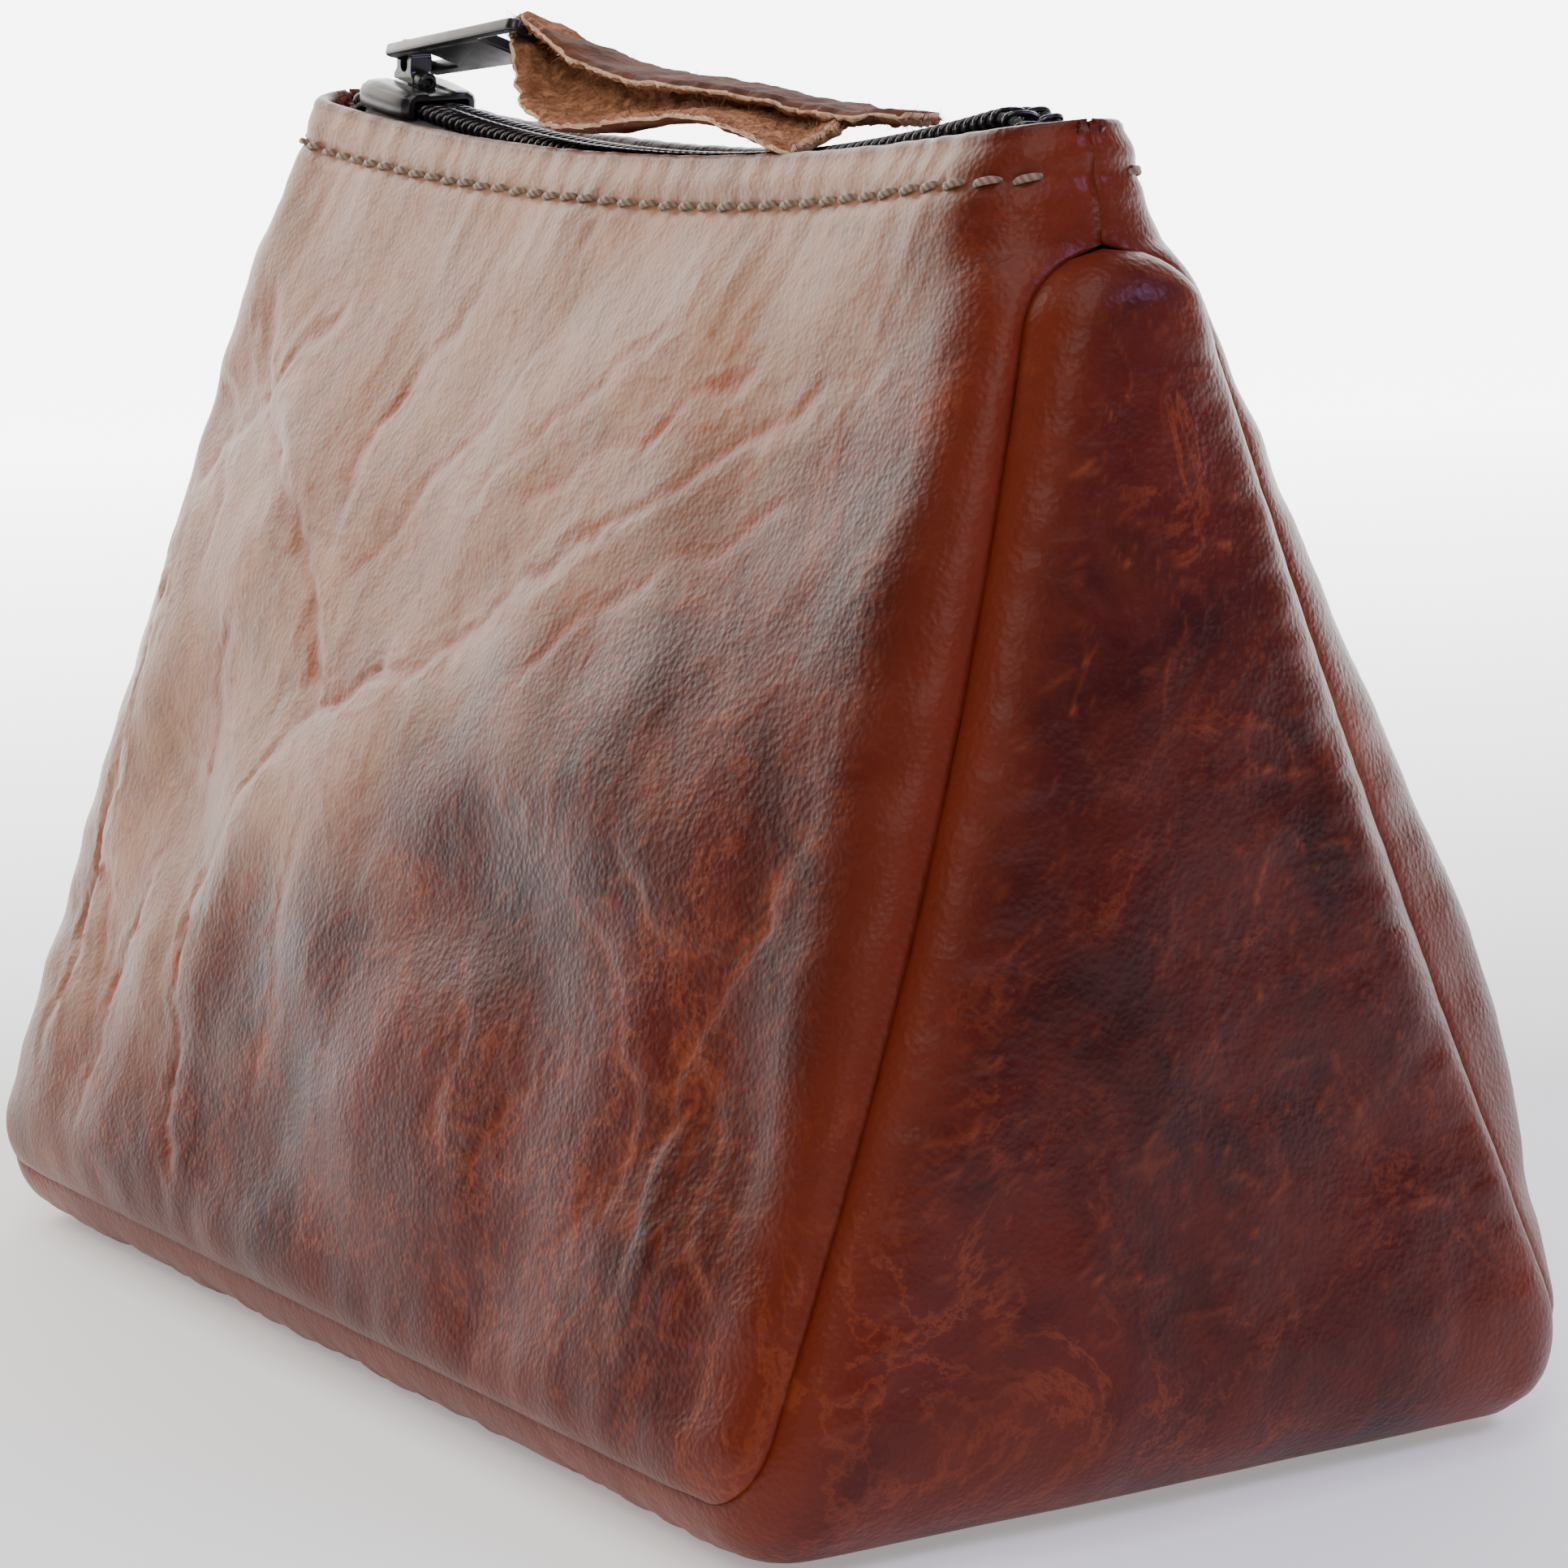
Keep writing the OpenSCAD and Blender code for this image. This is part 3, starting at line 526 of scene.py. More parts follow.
leatherFinish = oiledLeather()
liningFinish = wovenCloth("liningCloth", (0.016, 0.014, 0.013), (0.060, 0.053, 0.048), 0.0006)
tapeFinish = wovenCloth("zipTape", (0.010, 0.010, 0.010), (0.062, 0.058, 0.056), 0.0007)
coilFinish = coilPlastic()
metalFinish = blackMetal()
suedeFinish, grainFinish, edgeFinish = suede(), strapGrain(), cutEdge()
threadFinish = waxedThread()
print("materials made")


# Skin over a grid of outer points, with seam allowances turned in along its rim and, where there is a hem,
# the last row rolled over into it. inwardAt gives each rim point the direction its allowance takes.
def leatherShell(name, grid, rim, inwardAt, attributes, hem=None):
    rows, cols = grid.shape[:2]
    points = [grid.reshape(-1, 3)]
    keep = {key: [values.reshape(-1)] for key, values in attributes.items()}
    faces = gridFaces(rows, cols)
    last = np.array([r * cols + c for r, c in rim])
    edge = points[0][last]
    edgeValues = {key: values.reshape(-1)[last] for key, values in attributes.items()}
    count = rows * cols
    for depth in bag["allowance"]:
        points.append(edge + depth * inwardAt)
        for key, values in edgeValues.items():
            keep[key].append(values * 0)
        here = np.arange(count, count + len(rim))
        for k in range(len(rim) if hem is None else len(rim) - 1):
            m = (k + 1) % len(rim)
            faces.append([last[k], here[k], here[m], last[m]])
        last, count = here, count + len(rim)
    above = np.arange((rows - 1) * cols, rows * cols)
    for ring in hem or []:
        points.append(ring)
        for key, values in attributes.items():
            keep[key].append(values[-1] * 0.5)
        here = np.arange(count, count + cols)
        for c in range(cols - 1):
            faces.append([above[c], above[c + 1], here[c + 1], here[c]])
        above, count = here, count + cols
    values = {key: np.concatenate(parts) for key, parts in keep.items()}
    return outwardFaces(makeMesh(name, np.vstack(points), faces, values))


stitching = {
    "pitch": 5.2,
    "drop": 5.0,          # below the leather edge
    "share": 0.72,        # of the pitch that lies on top
    "thread": 0.50,       # half its thickness
    "slant": 9,           # degrees off the row
}
seamThread = {
    "pitch": 4.0,
    "sidePitch": 3.2,     # of the short seams over the gusset tips
    "start": 14,          # first one, along the seam from the tip
    "half": 1.3,          # half the length across the groove
    "slant": 0.5,
    "sink": 0.9,          # how far it lies in the groove
    "thread": 0.33,       # half its thickness
}
# how far each kind of fold in a panel stands out, in millimetres
panelFolds = {
    "crease": 0.75,       # share of a route's own depth
    "swell": 2.6,         # broad waves
    "ripple": 0.9,
    "crinkle": 0.09,
    "shiver": 0.03,
    "wrinkle": 0.09,      # sharp fine crests
    "fan": 0.20,          # fine folds fanning down from the top stitching
    "gather": 0.28,       # puckers at the top edge
    "sidePucker": 0.55,
    "footPucker": 0.45,
    "row": 0.25,          # how deep the stitched row lies
    "hole": 0.75,         # and how much deeper at a hole
    "above": 0.18,        # ridges above and below the row
    "below": 0.30,
    "backBelly": 5.5,     # one broad bulge low on the back
}
gussetFolds = {
    "swell": 1.6,
    "ripple": 0.6,
    "crinkle": 0.16,
    "wrinkle": 0.09,
    "pucker": 0.30,       # cross folds on the rolled sides
    "flatPucker": 0.15,   # and what the base has more
    "drift": 0.5,
    "ridge": 0.9,         # soft ridge down each end
}
# waxy patch on the upper left of the front, above a sloping line; partly a painted sheen of the light from
# the left
bloomSheenPatch = {
    "corner": (-36, 32),  # a place on the line, x z
    "run": (148, 112),    # its slope
    "shift": 6,
    "spread": 54,         # width over which it fades
    "lobes": 19,          # how far its edge wanders
    "fray": 7,
    "onBack": 0.30,       # strength of the few faint patches on the back
}

# creases as a route over the panel in x and z, a width and a depth
frontCreases = [
    ([(-104, 120), (-99, 98), (-97, 70), (-98, 45), (-95, 24)], 1.7, 2.1),
    ([(-50, 72), (-55, 55), (-51, 40), (-47, 26), (-37, 17)], 1.3, 1.5),
    ([(-70, 64), (-77, 48), (-76, 32), (-79, 20)], 1.5, 1.2),
    ([(92, 150), (84, 144), (70, 137), (52, 130), (34, 121), (12, 106), (-9, 97), (-32, 88), (-47, 74),
      (-57, 53)], 1.5, 1.05),
    ([(-93, 150), (-85, 132), (-66, 120), (-47, 106), (-34, 92), (-31, 80)], 1.7, 1.35),
    ([(-58, 150), (-62, 143), (-80, 127), (-97, 116), (-104, 106)], 1.5, 1.15),
    ([(-20, 150), (-34, 138), (-41, 124), (-42, 108)], 1.6, 0.75),
    ([(2, 148), (-8, 132), (-24, 116), (-38, 104)], 1.4, 0.6),
    ([(60, 146), (44, 136), (22, 127), (4, 120)], 1.1, 0.55),
    ([(40, 150), (22, 140), (6, 130), (-6, 117)], 1.2, 0.5),
    ([(80, 128), (60, 120), (38, 108), (22, 96)], 1.0, 0.45),
    ([(11, 105), (-4, 98), (-20, 92), (-36, 86)], 0.9, 0.9),
    ([(-104, 128), (-92, 122), (-84, 112), (-82, 98)], 1.2, 0.7),
    ([(-96, 60), (-88, 52), (-84, 38)], 1.2, 0.6),
    ([(-66, 100), (-68, 88), (-62, 76), (-64, 66)], 1.4, 0.6),
    ([(-20, 76), (-24, 62), (-20, 48), (-24, 34)], 1.5, 0.45),
    ([(100, 92), (96, 80), (89, 66), (83, 54), (84, 38), (82, 26)], 0.7, 0.42),
    ([(83, 62), (92, 54), (95, 40), (104, 28)], 0.6, 0.40),
    ([(53, 74), (68, 66), (76, 56), (79, 40), (72, 30)], 0.6, 0.38),
    ([(44, 34), (47, 42), (54, 48), (66, 55)], 0.6, 0.36),
    ([(62, 26), (70, 38), (80, 48), (92, 56)], 0.6, 0.34),
    ([(60, 88), (70, 74), (86, 70), (98, 78)], 0.7, 0.30),
    ([(30, 66), (36, 54), (34, 44), (40, 32)], 0.7, 0.30),
    ([(86, 24), (90, 36), (88, 48), (94, 60)], 0.5, 0.32),
]
backCreases = [
    ([(96, 130), (88, 110), (92, 84), (86, 58), (92, 30)], 1.6, 1.1),
    ([(60, 150), (50, 128), (26, 112), (10, 92), (-16, 84)], 1.5, 0.9),
    ([(-90, 146), (-74, 130), (-66, 108), (-48, 96)], 1.5, 1.0),
    ([(-98, 96), (-90, 74), (-92, 50), (-84, 28)], 1.4, 0.9),
    ([(20, 150), (8, 134), (-14, 122), (-22, 104)], 1.3, 0.7),
    ([(40, 60), (24, 48), (20, 34), (26, 22)], 1.1, 0.6),
    ([(-40, 64), (-30, 50), (-34, 36)], 1.1, 0.5),
    ([(74, 96), (58, 84), (50, 66)], 1.0, 0.6),
]


# fine wrinkles: sharp crests of warped noise
def fineWrinkles(x, z, warp):
    a = warp.at(x / 9 + 2 * warp.at(x / 25, z / 25), z / 14)
    b = warp.at(x / 14 + 50, z / 8 + 2 * warp.at(x / 22 + 9, z / 22))
    return np.maximum(1 - np.abs(a) / 0.07, 0) + np.maximum(1 - np.abs(b) / 0.06, 0)


# patch of waxy bloom and painted sheen: lighter colour on the upper left of the front, where the light from
# the left glances off
def bloomSheenAt(x, z, tint, warp, wide):
    (cx, cz), (runX, runZ) = bloomSheenPatch["corner"], bloomSheenPatch["run"]
    edge = ((x - cx) * runZ - (z - cz) * runX) / math.hypot(runX, runZ)
    wander = bloomSheenPatch["lobes"] * wide.at(x / 26 + 5, z / 22) + bloomSheenPatch["fray"] * warp.at(x / 9, z / 9)
    bloomSheen = smooth((bloomSheenPatch["shift"] - edge + wander) / bloomSheenPatch["spread"])
    # fainter towards the seams, the foot and the creases
    bloomSheen *= smooth((seamX(z) - x - 7) / 9) * (0.45 + 0.55 * smooth((seamX(z) + x) / 22))
    return bloomSheen * (0.55 + 0.45 * smooth((z - 16) / 50)) * (1 - 0.70 * np.clip(tint, 0, 1))


# outward relief of a panel, and its crease, bloom-and-painted-sheen and warm colour fields
def panelRelief(x, z, routes, seed, withBloomSheen):
    folds = panelFolds
    warp, wide = Grain(seed), Grain(seed + 1)
    depth, tint = routeField(x, z, routes, warp)
    toSide = seamX(z) - np.abs(x)
    toFoot = z - bag["seamRise"]
    toTop = bag["topZ"] - z
    toRow = toTop - stitching["drop"]
    inner = smooth(toSide / 14) * smooth(toFoot / 12) * smooth(toTop / 9)
    relief = folds["crease"] * depth * smooth(toSide / 7) * smooth(toFoot / 6) * smooth(toTop / 7)
    relief += inner * folds["swell"] * wide.at(x / 44, z / 38)
    relief += inner * folds["ripple"] * wide.at(x / 21 + 9, z / 19)
    relief += inner * folds["crinkle"] * warp.at(x / 8, z / 7)
    relief += inner * folds["shiver"] * warp.at(x / 2.6, z / 2.3 + 60)
    # folds under the top stitching and puckers along the seams
    fan = smooth(toTop / 7) * np.exp(-np.maximum(toTop - 8, 0) / 16)
    relief += folds["fan"] * fan * warp.at((x + 0.35 * toTop) / 3.6, z / 22)
    relief += folds["gather"] * np.exp(-(toTop / 5) ** 2) * warp.at(x / 3.2 + 30, z / 9)
    relief += folds["sidePucker"] * bump((toSide - 5) / 4) * wide.at(x * 0.02, z / 7)
    relief += folds["footPucker"] * bump((toFoot - 6) / 4) * wide.at(x / 8, z * 0.02)
    # stitched row pulls the leather in, most at each hole
    hole = np.abs(np.sin(np.pi * x / stitching["pitch"]))
    relief += bump(toRow / 0.9) * (-folds["row"] - folds["hole"] * bump(hole / 0.36))
    relief += folds["below"] * bump((toRow + 3.0) / 1.6) + folds["above"] * bump((toRow - 2.6) / 1.6)
    fine = fineWrinkles(x, z, warp)
    relief += folds["wrinkle"] * fine * inner
    tint = np.clip(1.15 * tint + 0.45 * np.clip(fine - 0.30, 0, 1) * inner, 0, 1)
    if withBloomSheen:
        bloomSheen = bloomSheenAt(x, z, tint, warp, wide)
    else:
        bloomSheen = bloomSheenPatch["onBack"] * smooth(wide.at(x / 40 + 3, z / 36) * 1.6) * smooth(toTop / 60)
        belly = bump((z - 62) / 50) * smooth((x - 10) / 60)
        relief += folds["backBelly"] * belly * smooth(toSide / 11) * smooth(toFoot / 12)
    warm = 0.75 * np.exp(-(toSide / 9) ** 2) + 0.35 * np.exp(-(toFoot / 6) ** 2)
    return relief, tint, bloomSheen, np.clip(warm, 0, 1)


# places across a strip of the given half width, closer together over its rolled sides
def rolledSteps(half, roll, cols):
    arc = np.sin(np.radians(np.linspace(90, 0, shellSteps["roll"])))[:-1]
    low = half - roll
    return np.concatenate([-low - roll * arc, np.linspace(-low, low, cols), low + roll * arc[::-1]])


# top edge rolled over and down into the mouth
def topHem(top):
    inside, up = np.array([0, 1.0, 0]), np.array([0, 0, 1])
    hem = []
    for angle in (30, 60, 90, 120, 150, 180):
        a = math.radians(angle)
        hem.append(top + bag["hemR"] * ((1 - math.cos(a)) * inside + math.sin(a) * up))
    for depth in bag["hemDepths"]:
        hem.append(top + 2 * bag["hemR"] * inside + np.array([0, 0.25 * depth, -depth]))
    # nothing of it crosses the middle of the mouth
    return [np.stack([ring[:, 0], np.minimum(ring[:, 1], -0.35), ring[:, 2]], 1) for ring in hem]


def panelShell(name, routes, seed, mirrored, withBloomSheen):
    arc = np.sin(np.radians(np.linspace(90, 0, shellSteps["roll"])))
    foot = bag["seamRise"] + bag["riseRoll"]
    zs = np.concatenate([bag["seamRise"] + bag["riseRoll"] * (1 - arc),
                         np.linspace(foot, bag["topZ"], shellSteps["rows"])[1:]])
    x = np.array([rolledSteps(float(seamX(z)), bag["edgeRoll"], shellSteps["cols"]) for z in zs])
    z = np.repeat(zs[:, None], x.shape[1], 1)
    grid = np.stack([x, -panelY(x, z), sagged(x, z)], 2)
    normal = np.cross(np.gradient(grid, axis=1), np.gradient(grid, axis=0))
    normal /= np.maximum(np.linalg.norm(normal, axis=2), 1e-9)[..., None]
    relief, tint, bloomSheen, warm = panelRelief(x, z, routes, seed, withBloomSheen)
    grid += relief[..., None] * normal
    rows, cols = x.shape
    # rim: down the left side, along the foot and up the right side
    rim = [(r, 0) for r in range(rows - 1, -1, -1)]
    rim += [(0, c) for c in range(1, cols)]
    rim += [(r, cols - 1) for r in range(1, rows)]
    turn = []
    for r, c in rim:
        here = z[r, c]
        way = np.array([0, 1.0, 1.0])
        if r > 0:
            slope = float(seamX(here + 0.05) - seamX(max(here - 0.05, bag["seamRise"]))) / 0.1
            way = unit(np.array([-np.sign(x[r, c]), 0, slope]))
            way[1] = float(tipRound(here))
        turn.append(unit(way))
    fields = {"crease": tint, "bloomSheen": bloomSheen, "warm": warm}
    piece = leatherShell(name, grid, rim, np.array(turn), fields, topHem(grid[-1]))
    if mirrored:
        for v in piece.data.vertices:
            v.co.y = -v.co.y
        piece.data.flip_normals()
    side = 1 if mirrored else -1
    faceTowards(piece, (0, side * 45, 80), (0, side, 0.2))
    thicken(piece, bag["leather"])
    return piece


# seam of the gusset strip: down one end, along the base and up the other
def stripPath(steps):
    low = bag["seamRise"] + bag["cornerR"]
    high = bag["tipZ"]
    endZ = high - (high - low) * np.linspace(0, 1, steps) ** 0.98
    cornerZ = low - bag["cornerR"] * np.sin(np.radians(np.linspace(0, 90, 14)[1:]))
    halfZ = np.concatenate([endZ, cornerZ])
    half = np.stack([-seamX(halfZ), halfZ], 1)
    baseX = np.linspace(half[-1, 0], -half[-1, 0], shellSteps["baseRows"])[1:-1]
    base = np.stack([baseX, np.full(len(baseX), bag["seamRise"])], 1)
    return np.vstack([half, base, half[::-1] * [-1, 1]])


# outward relief of the gusset strip and its crease field; s runs along it, y across
def stripRelief(s, y, z, half, down, seed):
    folds = gussetFolds
    warp, wide = Grain(seed), Grain(seed + 1)
    toEdge = half - np.abs(y)
    toTip = np.minimum(s, s[-1:] - s)
    flat = 1 - down ** 2 * smooth((20 - np.abs(z)) / 18)
    inner = smooth(toEdge / 9) * smooth(toTip / 9)
    swell = folds["swell"] * wide.at(s / 42, y / 26) + folds["ripple"] * wide.at(s / 17, y / 13)
    relief = inner * flat * (swell + folds["crinkle"] * warp.at(s / 6, y / 6))
    # small cross folds on the roll under the panels
    fold = bump((toEdge - 5) / 5)
    pucker = folds["pucker"] + folds["flatPucker"] * (1 - flat)
    relief += fold * pucker * (warp.at(s / 3.4, y / 14) + 0.5 * warp.at(s / 1.7 + 9, y / 9))
    relief += folds["drift"] * fold * wide.at(s / 11 + 4, y * 0.03)
    ridge = bump((y + 0.42 * half - 4) / 7) * smooth((z - 20) / 60) * smooth(toTip / 25)
    relief += folds["ridge"] * ridge * flat
    fine = fineWrinkles(s, y + 200, warp)
    relief += folds["wrinkle"] * fine * inner * flat
    return relief, np.clip(0.6 * np.clip(fine - 0.55, 0, 1) * inner, 0, 1)


def stripShell(name, seed):
    path = stripPath(shellSteps["endRows"])
    along = unit(np.gradient(path, axis=0))
    out = np.stack([along[:, 1], -along[:, 0]], 1)      # outward in the x, z plane
    half = np.maximum(seamY(path[:, 1]), 0.02)
    down = np.clip(-out[:, 1], 0, 1)
    roundOff = tipRound(path[:, 1])
    lift = roundOff * (bag["endRoll"] + (bag["seamRise"] - bag["endRoll"]) * down ** 2)
    belly = roundOff * bag["gussetSwell"] * (1 - down)
    grid, across = [], []
    for r, (px, pz) in enumerate(path):
        roll = min(bag["gussetRoll"], half[r] / 2)
        ys = rolledSteps(half[r], roll, shellSteps["stripCols"])
        outside = np.clip((np.abs(ys) - (half[r] - roll)) / roll, 0, 1)
        rise = lift[r] * np.sqrt(1 - outside ** 2) + belly[r] * (1 - (ys / half[r]) ** 2)
        grid.append(np.stack([px + out[r, 0] * rise, ys, pz + out[r, 1] * rise], 1))
        across.append(ys)
    grid, across = np.array(grid), np.array(across)
    rows, cols = across.shape
    s = np.repeat(reachAlong(path)[:, None], cols, 1)
    relief, tint = stripRelief(s, across, grid[..., 2], half[:, None], down[:, None], seed)
    grid += relief[..., None] * np.stack([out[:, 0], 0 * out[:, 0], out[:, 1]], 1)[:, None]
    grid[..., 2] = np.maximum(grid[..., 2], 0.02)
    # warmer along the seams and in patches low down
    toEdge = half[:, None] - np.abs(across)
    patches = smooth(Grain(seed + 1).at(s / 24 + 7, across / 20) * 2)
    warm = 0.8 * np.exp(-(toEdge / 6) ** 2) + 0.5 * smooth((60 - grid[..., 2]) / 60) * patches
    # rim: all the way round the strip
    rim = [(r, 0) for r in range(rows - 1, -1, -1)]
    rim += [(0, c) for c in range(1, cols)]
    rim += [(r, cols - 1) for r in range(1, rows)]
    rim += [(rows - 1, c) for c in range(cols - 2, 0, -1)]
    turn = []
    for r, c in rim:
        way = np.array([-out[r, 0], 0, -out[r, 1]])
        if c in (0, cols - 1):
            way[1] = (1 if c == 0 else -1) * roundOff[r]
        turn.append(unit(way))
    fields = {"crease": tint, "bloomSheen": 0 * tint, "warm": np.clip(warm, 0, 1)}
    piece = leatherShell(name, grid, rim, np.array(turn), fields)
    faceTowards(piece, (0, 0, 0), (0, 0, -1))
    thicken(piece, bag["leather"])
    return piece


finishPiece(panelShell("front_panel_leather", frontCreases, 11, False, True),
            "bag", "leather", leatherFinish, "front_panel")
finishPiece(panelShell("back_panel_leather", backCreases, 23, True, False),
            "bag", "leather", leatherFinish, "back_panel")
finishPiece(stripShell("gusset_leather", 37), "bag", "leather", leatherFinish, "gusset_strip")
print("leather shells made")


# height of the middle of the circle that the chain hangs along
arcCentre = bag["topZ"] - bag["edgeSag"] - zipLine["drop"] + zipLine["radius"]
# half sections of a tape, as places across and above its underside: where it is sewn in, and at its bent ends
sewnTape = [(0.95, 0), (0.95, 0.66), (4.2, 0.66), (6.4, 0.60), (7.3, 0.25), (7.7, -0.8), (8.6, -3.6),
            (10.0, -8.0), (9.4, -8.1), (8.0, -3.8), (7.1, -0.9), (6.7, -0.25), (6.2, -0.02), (4.2, 0.0)]
bareTape = [(0.95, 0), (0.95, 0.66), (2.2, 0.66), (3.0, 0.66), (3.6, 0.66), (4.0, 0.66), (4.4, 0.66),
            (4.7, 0.66), (4.7, 0.0), (4.4, 0.0), (4.0, 0.0), (3.6, 0.0), (3.0, 0.0), (2.2, 0.0)]


# points under the tape, and the way up from it, from the left bend to the right one
def zipPath(step):
    radius, bend = zipLine["radius"], zipLine["bendR"]
    a = math.asin(zipLine["half"] / radius)
    t = np.linspace(-a, a, int(2 * a * radius / step))
    up = np.stack([-np.sin(t), 0 * t, np.cos(t)], 1)
    line = np.array([0, 0, arcCentre]) - radius * up
    bendSteps = max(6, int(zipLine["bendAngle"] * (bend + 1) / step * 1.6))
    turn = np.linspace(0, zipLine["bendAngle"], bendSteps)[1:]
    lines, ups = [], []
    for sign in (-1, 1):
        out = np.array([-math.sin(sign * a), 0, math.cos(a)])
        centre = np.array([0, 0, arcCentre]) - (radius + bend) * out
        tip = sign * turn - sign * a
        away = np.stack([np.sin(tip), 0 * tip, np.cos(tip)], 1)
        lines.append(centre + bend * away)
        ups.append(away)
    return np.vstack([lines[0][::-1], line, lines[1]]), np.vstack([ups[0][::-1], up, ups[1]])


def coilLoops(side):
    line, up = zipPath(0.25)
    reach = reachAlong(line)
    turns = int(reach[-1] / zipLine["pitch"])
    stepsPerTurn, sides = 16, 7
    s = np.linspace(0, turns * zipLine["pitch"], turns * stepsPerTurn)
    base = np.stack([np.interp(s, reach, line[:, k]) for k in range(3)], 1)
    rise = np.stack([np.interp(s, reach, up[:, k]) for k in range(3)], 1)
    phase = 2 * math.pi * s / zipLine["pitch"] + (0 if side < 0 else math.pi)
    wire = zipLine["wire"] / 2
    inner, outer = zipLine["coilIn"], zipLine["coilOut"]
    midY, halfY = (inner + outer) / 2, (outer - inner) / 2 - wire
    halfZ = zipLine["coilHeight"] / 2 - wire
    # flattened loops: nearly square, with fuller heads at the middle
    cy, cz = np.cos(phase), np.sin(phase)
    ny = np.sign(cy) * np.abs(cy) ** 0.75
    nz = np.sign(cz) * np.abs(cz) ** 0.8
    path = base + (zipLine["tape"] + zipLine["coilHeight"] / 2 + halfZ * nz)[:, None] * rise
    path[:, 1] += side * (midY + halfY * ny)
    away = np.stack([rise[:, 0] * cz, side * cy, rise[:, 2] * cz], 1) + 1e-3
    return sweep(path, away, sides, wire * (1 + 0.22 * bump((ny + 1) / 0.35)))


def tapeStrip(side):
    line, up = zipPath(0.8)
    sewn, bare = np.array(sewnTape), np.array(bareTape)
    count, sides = len(line), len(sewn)
    rows = []
    for place, rise in zip(line, up):
        share = smooth((np.abs(place[0]) - zipLine["half"] + 5) / 5)
        section = sewn * (1 - share) + bare * share
        across = section[:, :1] * np.array([0, side, 0])
        rows.append(place + section[:, 1:] * rise + across)
    faces = gridFaces(count, sides, wrapCols=True, flip=side > 0)
    faces += [end[::-1] if side > 0 else end for end in endFaces(count, sides)]
    parts = [(np.vstack(rows), faces)]
    # loose threads at the cut ends
    draw = np.random.RandomState(5)
    t = np.linspace(0, 1, 5)[:, None]
    for end, before in ((0, 1), (-1, -2)):
        along = unit(line[end] - line[before])
        for _ in range(zipLine["threads"]):
            start = line[end] + np.array([0, side * draw.uniform(1.2, 4.4), 0]) + 0.3 * up[end]
            drift = draw.uniform(-0.6, 0.6, 3)
            path = start + t * along * draw.uniform(0.8, 1.8) + t ** 2 * drift
            parts.append(sweep(path, np.array([[0, 1.0, 0.2]] * 5), 4, 0.07))
    return joined(parts)


for side, label in ((-1, "front"), (1, "back")):
    coil = outwardFaces(makeMesh(label + "_coil", *coilLoops(side)))
    finishPiece(coil, "bag", "zip_coil", coilFinish, label + "_zip_coil")
    tape = outwardFaces(makeMesh(label + "_tape", *tapeStrip(side)))
    finishPiece(tape, "bag", "zip_tape", tapeFinish, label + "_zip_tape")
    dress(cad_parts[label + "_coil_cord"], tapeFinish)
print("zip made")


# place on a panel's outer face, and its outward direction
def onPanel(x, z, side):
    step = 0.2

    def point(px, pz):
        return np.stack([px, side * panelY(px, pz), sagged(px, pz)], -1)
    here = point(x, z)
    normal = unit(np.cross(point(x + step, z) - here, point(x, z + step) - here))
    return here, normal * np.sign(normal[..., 1:2]) * side


def topRow(side, routes, seed):
    pitch = stitching["pitch"]
    z = bag["topZ"] - stitching["drop"]
    # length along the leather, so that the stitches stay even where it curves away
    dense = (float(endX(z)) - 0.4) * np.sin(np.radians(np.linspace(-90, 90, 4001)))
    reach = reachAlong(onPanel(dense, 0 * dense + z, side)[0])
    reach -= reach[-1] / 2
    count = int((reach[-1] - 1.0) / pitch)
    t = np.linspace(-1, 1, 11)
    draw = np.random.RandomState(3 if side < 0 else 4)
    parts = []
    for k in range(-count, count):
        middle = (k + 0.5) * pitch
        slant = math.tan(math.radians(stitching["slant"] + draw.uniform(-3, 3)))
        places = middle + t * pitch * stitching["share"] / 2
        xs = np.interp(places, reach, dense)
        zs = z - (places - middle) * slant * side + draw.uniform(-0.12, 0.12)
        path, normal = onPanel(xs, zs, side)
        relief = panelRelief(xs, zs, routes, seed, side < 0)[0]
        # each stitch humps between its holes and follows the leather under it
        hump = 0.50 * (1 - np.abs(t) ** 2.4) - 0.62 * np.abs(t) ** 5 + 0.06
        lift = hump + relief.mean() + 0.4 * (relief - relief.mean())
        radius = stitching["thread"] * (1 - 0.42 * np.abs(t) ** 3)
        parts.append(sweep(path + lift[:, None] * normal, normal, 9, radius))
    return joined(parts)


# short threads that bridge the groove between a panel and the gusset strip
def seamRow(side):
    path = stripPath(60)
    along = unit(np.gradient(path, axis=0))
    reach = reachAlong(path)
    t = np.linspace(-1, 1, 5)[:, None]
    parts = []
    for s in np.arange(seamThread["start"], reach[-1] - seamThread["start"], seamThread["pitch"]):
        x, z, ax, az = (np.interp(s, reach, values) for values in (*path.T, *along.T))
        way = unit(np.array([ax, 0, az]))
        inward = np.array([-way[2], 0, way[0]]) + np.array([0, -side, 0])
        centre = np.array([x, side * float(seamY(z)), z]) + seamThread["sink"] * inward / math.sqrt(2)
        across = unit(np.cross(way, inward))
        line = centre + t * seamThread["half"] * across + seamThread["slant"] * t * way
        parts.append(sweep(line, np.array([way] * 5), 6, seamThread["thread"]))
    return joined(parts)


def sideRow(end):
    t = np.linspace(-1, 1, 5)[:, None]
    parts = []
    for z in np.arange(bag["tipZ"] + 2.5, bag["topZ"] - 1, seamThread["sidePitch"]):
        x = end * (float(endX(z)) - 1.1)
        line = np.array([x, 0, z]) + t * np.array([0, seamThread["half"], seamThread["slant"]])
        parts.append(sweep(line, np.array([[0, 0.0, 1.0]] * 5), 6, seamThread["thread"]))
    return joined(parts)


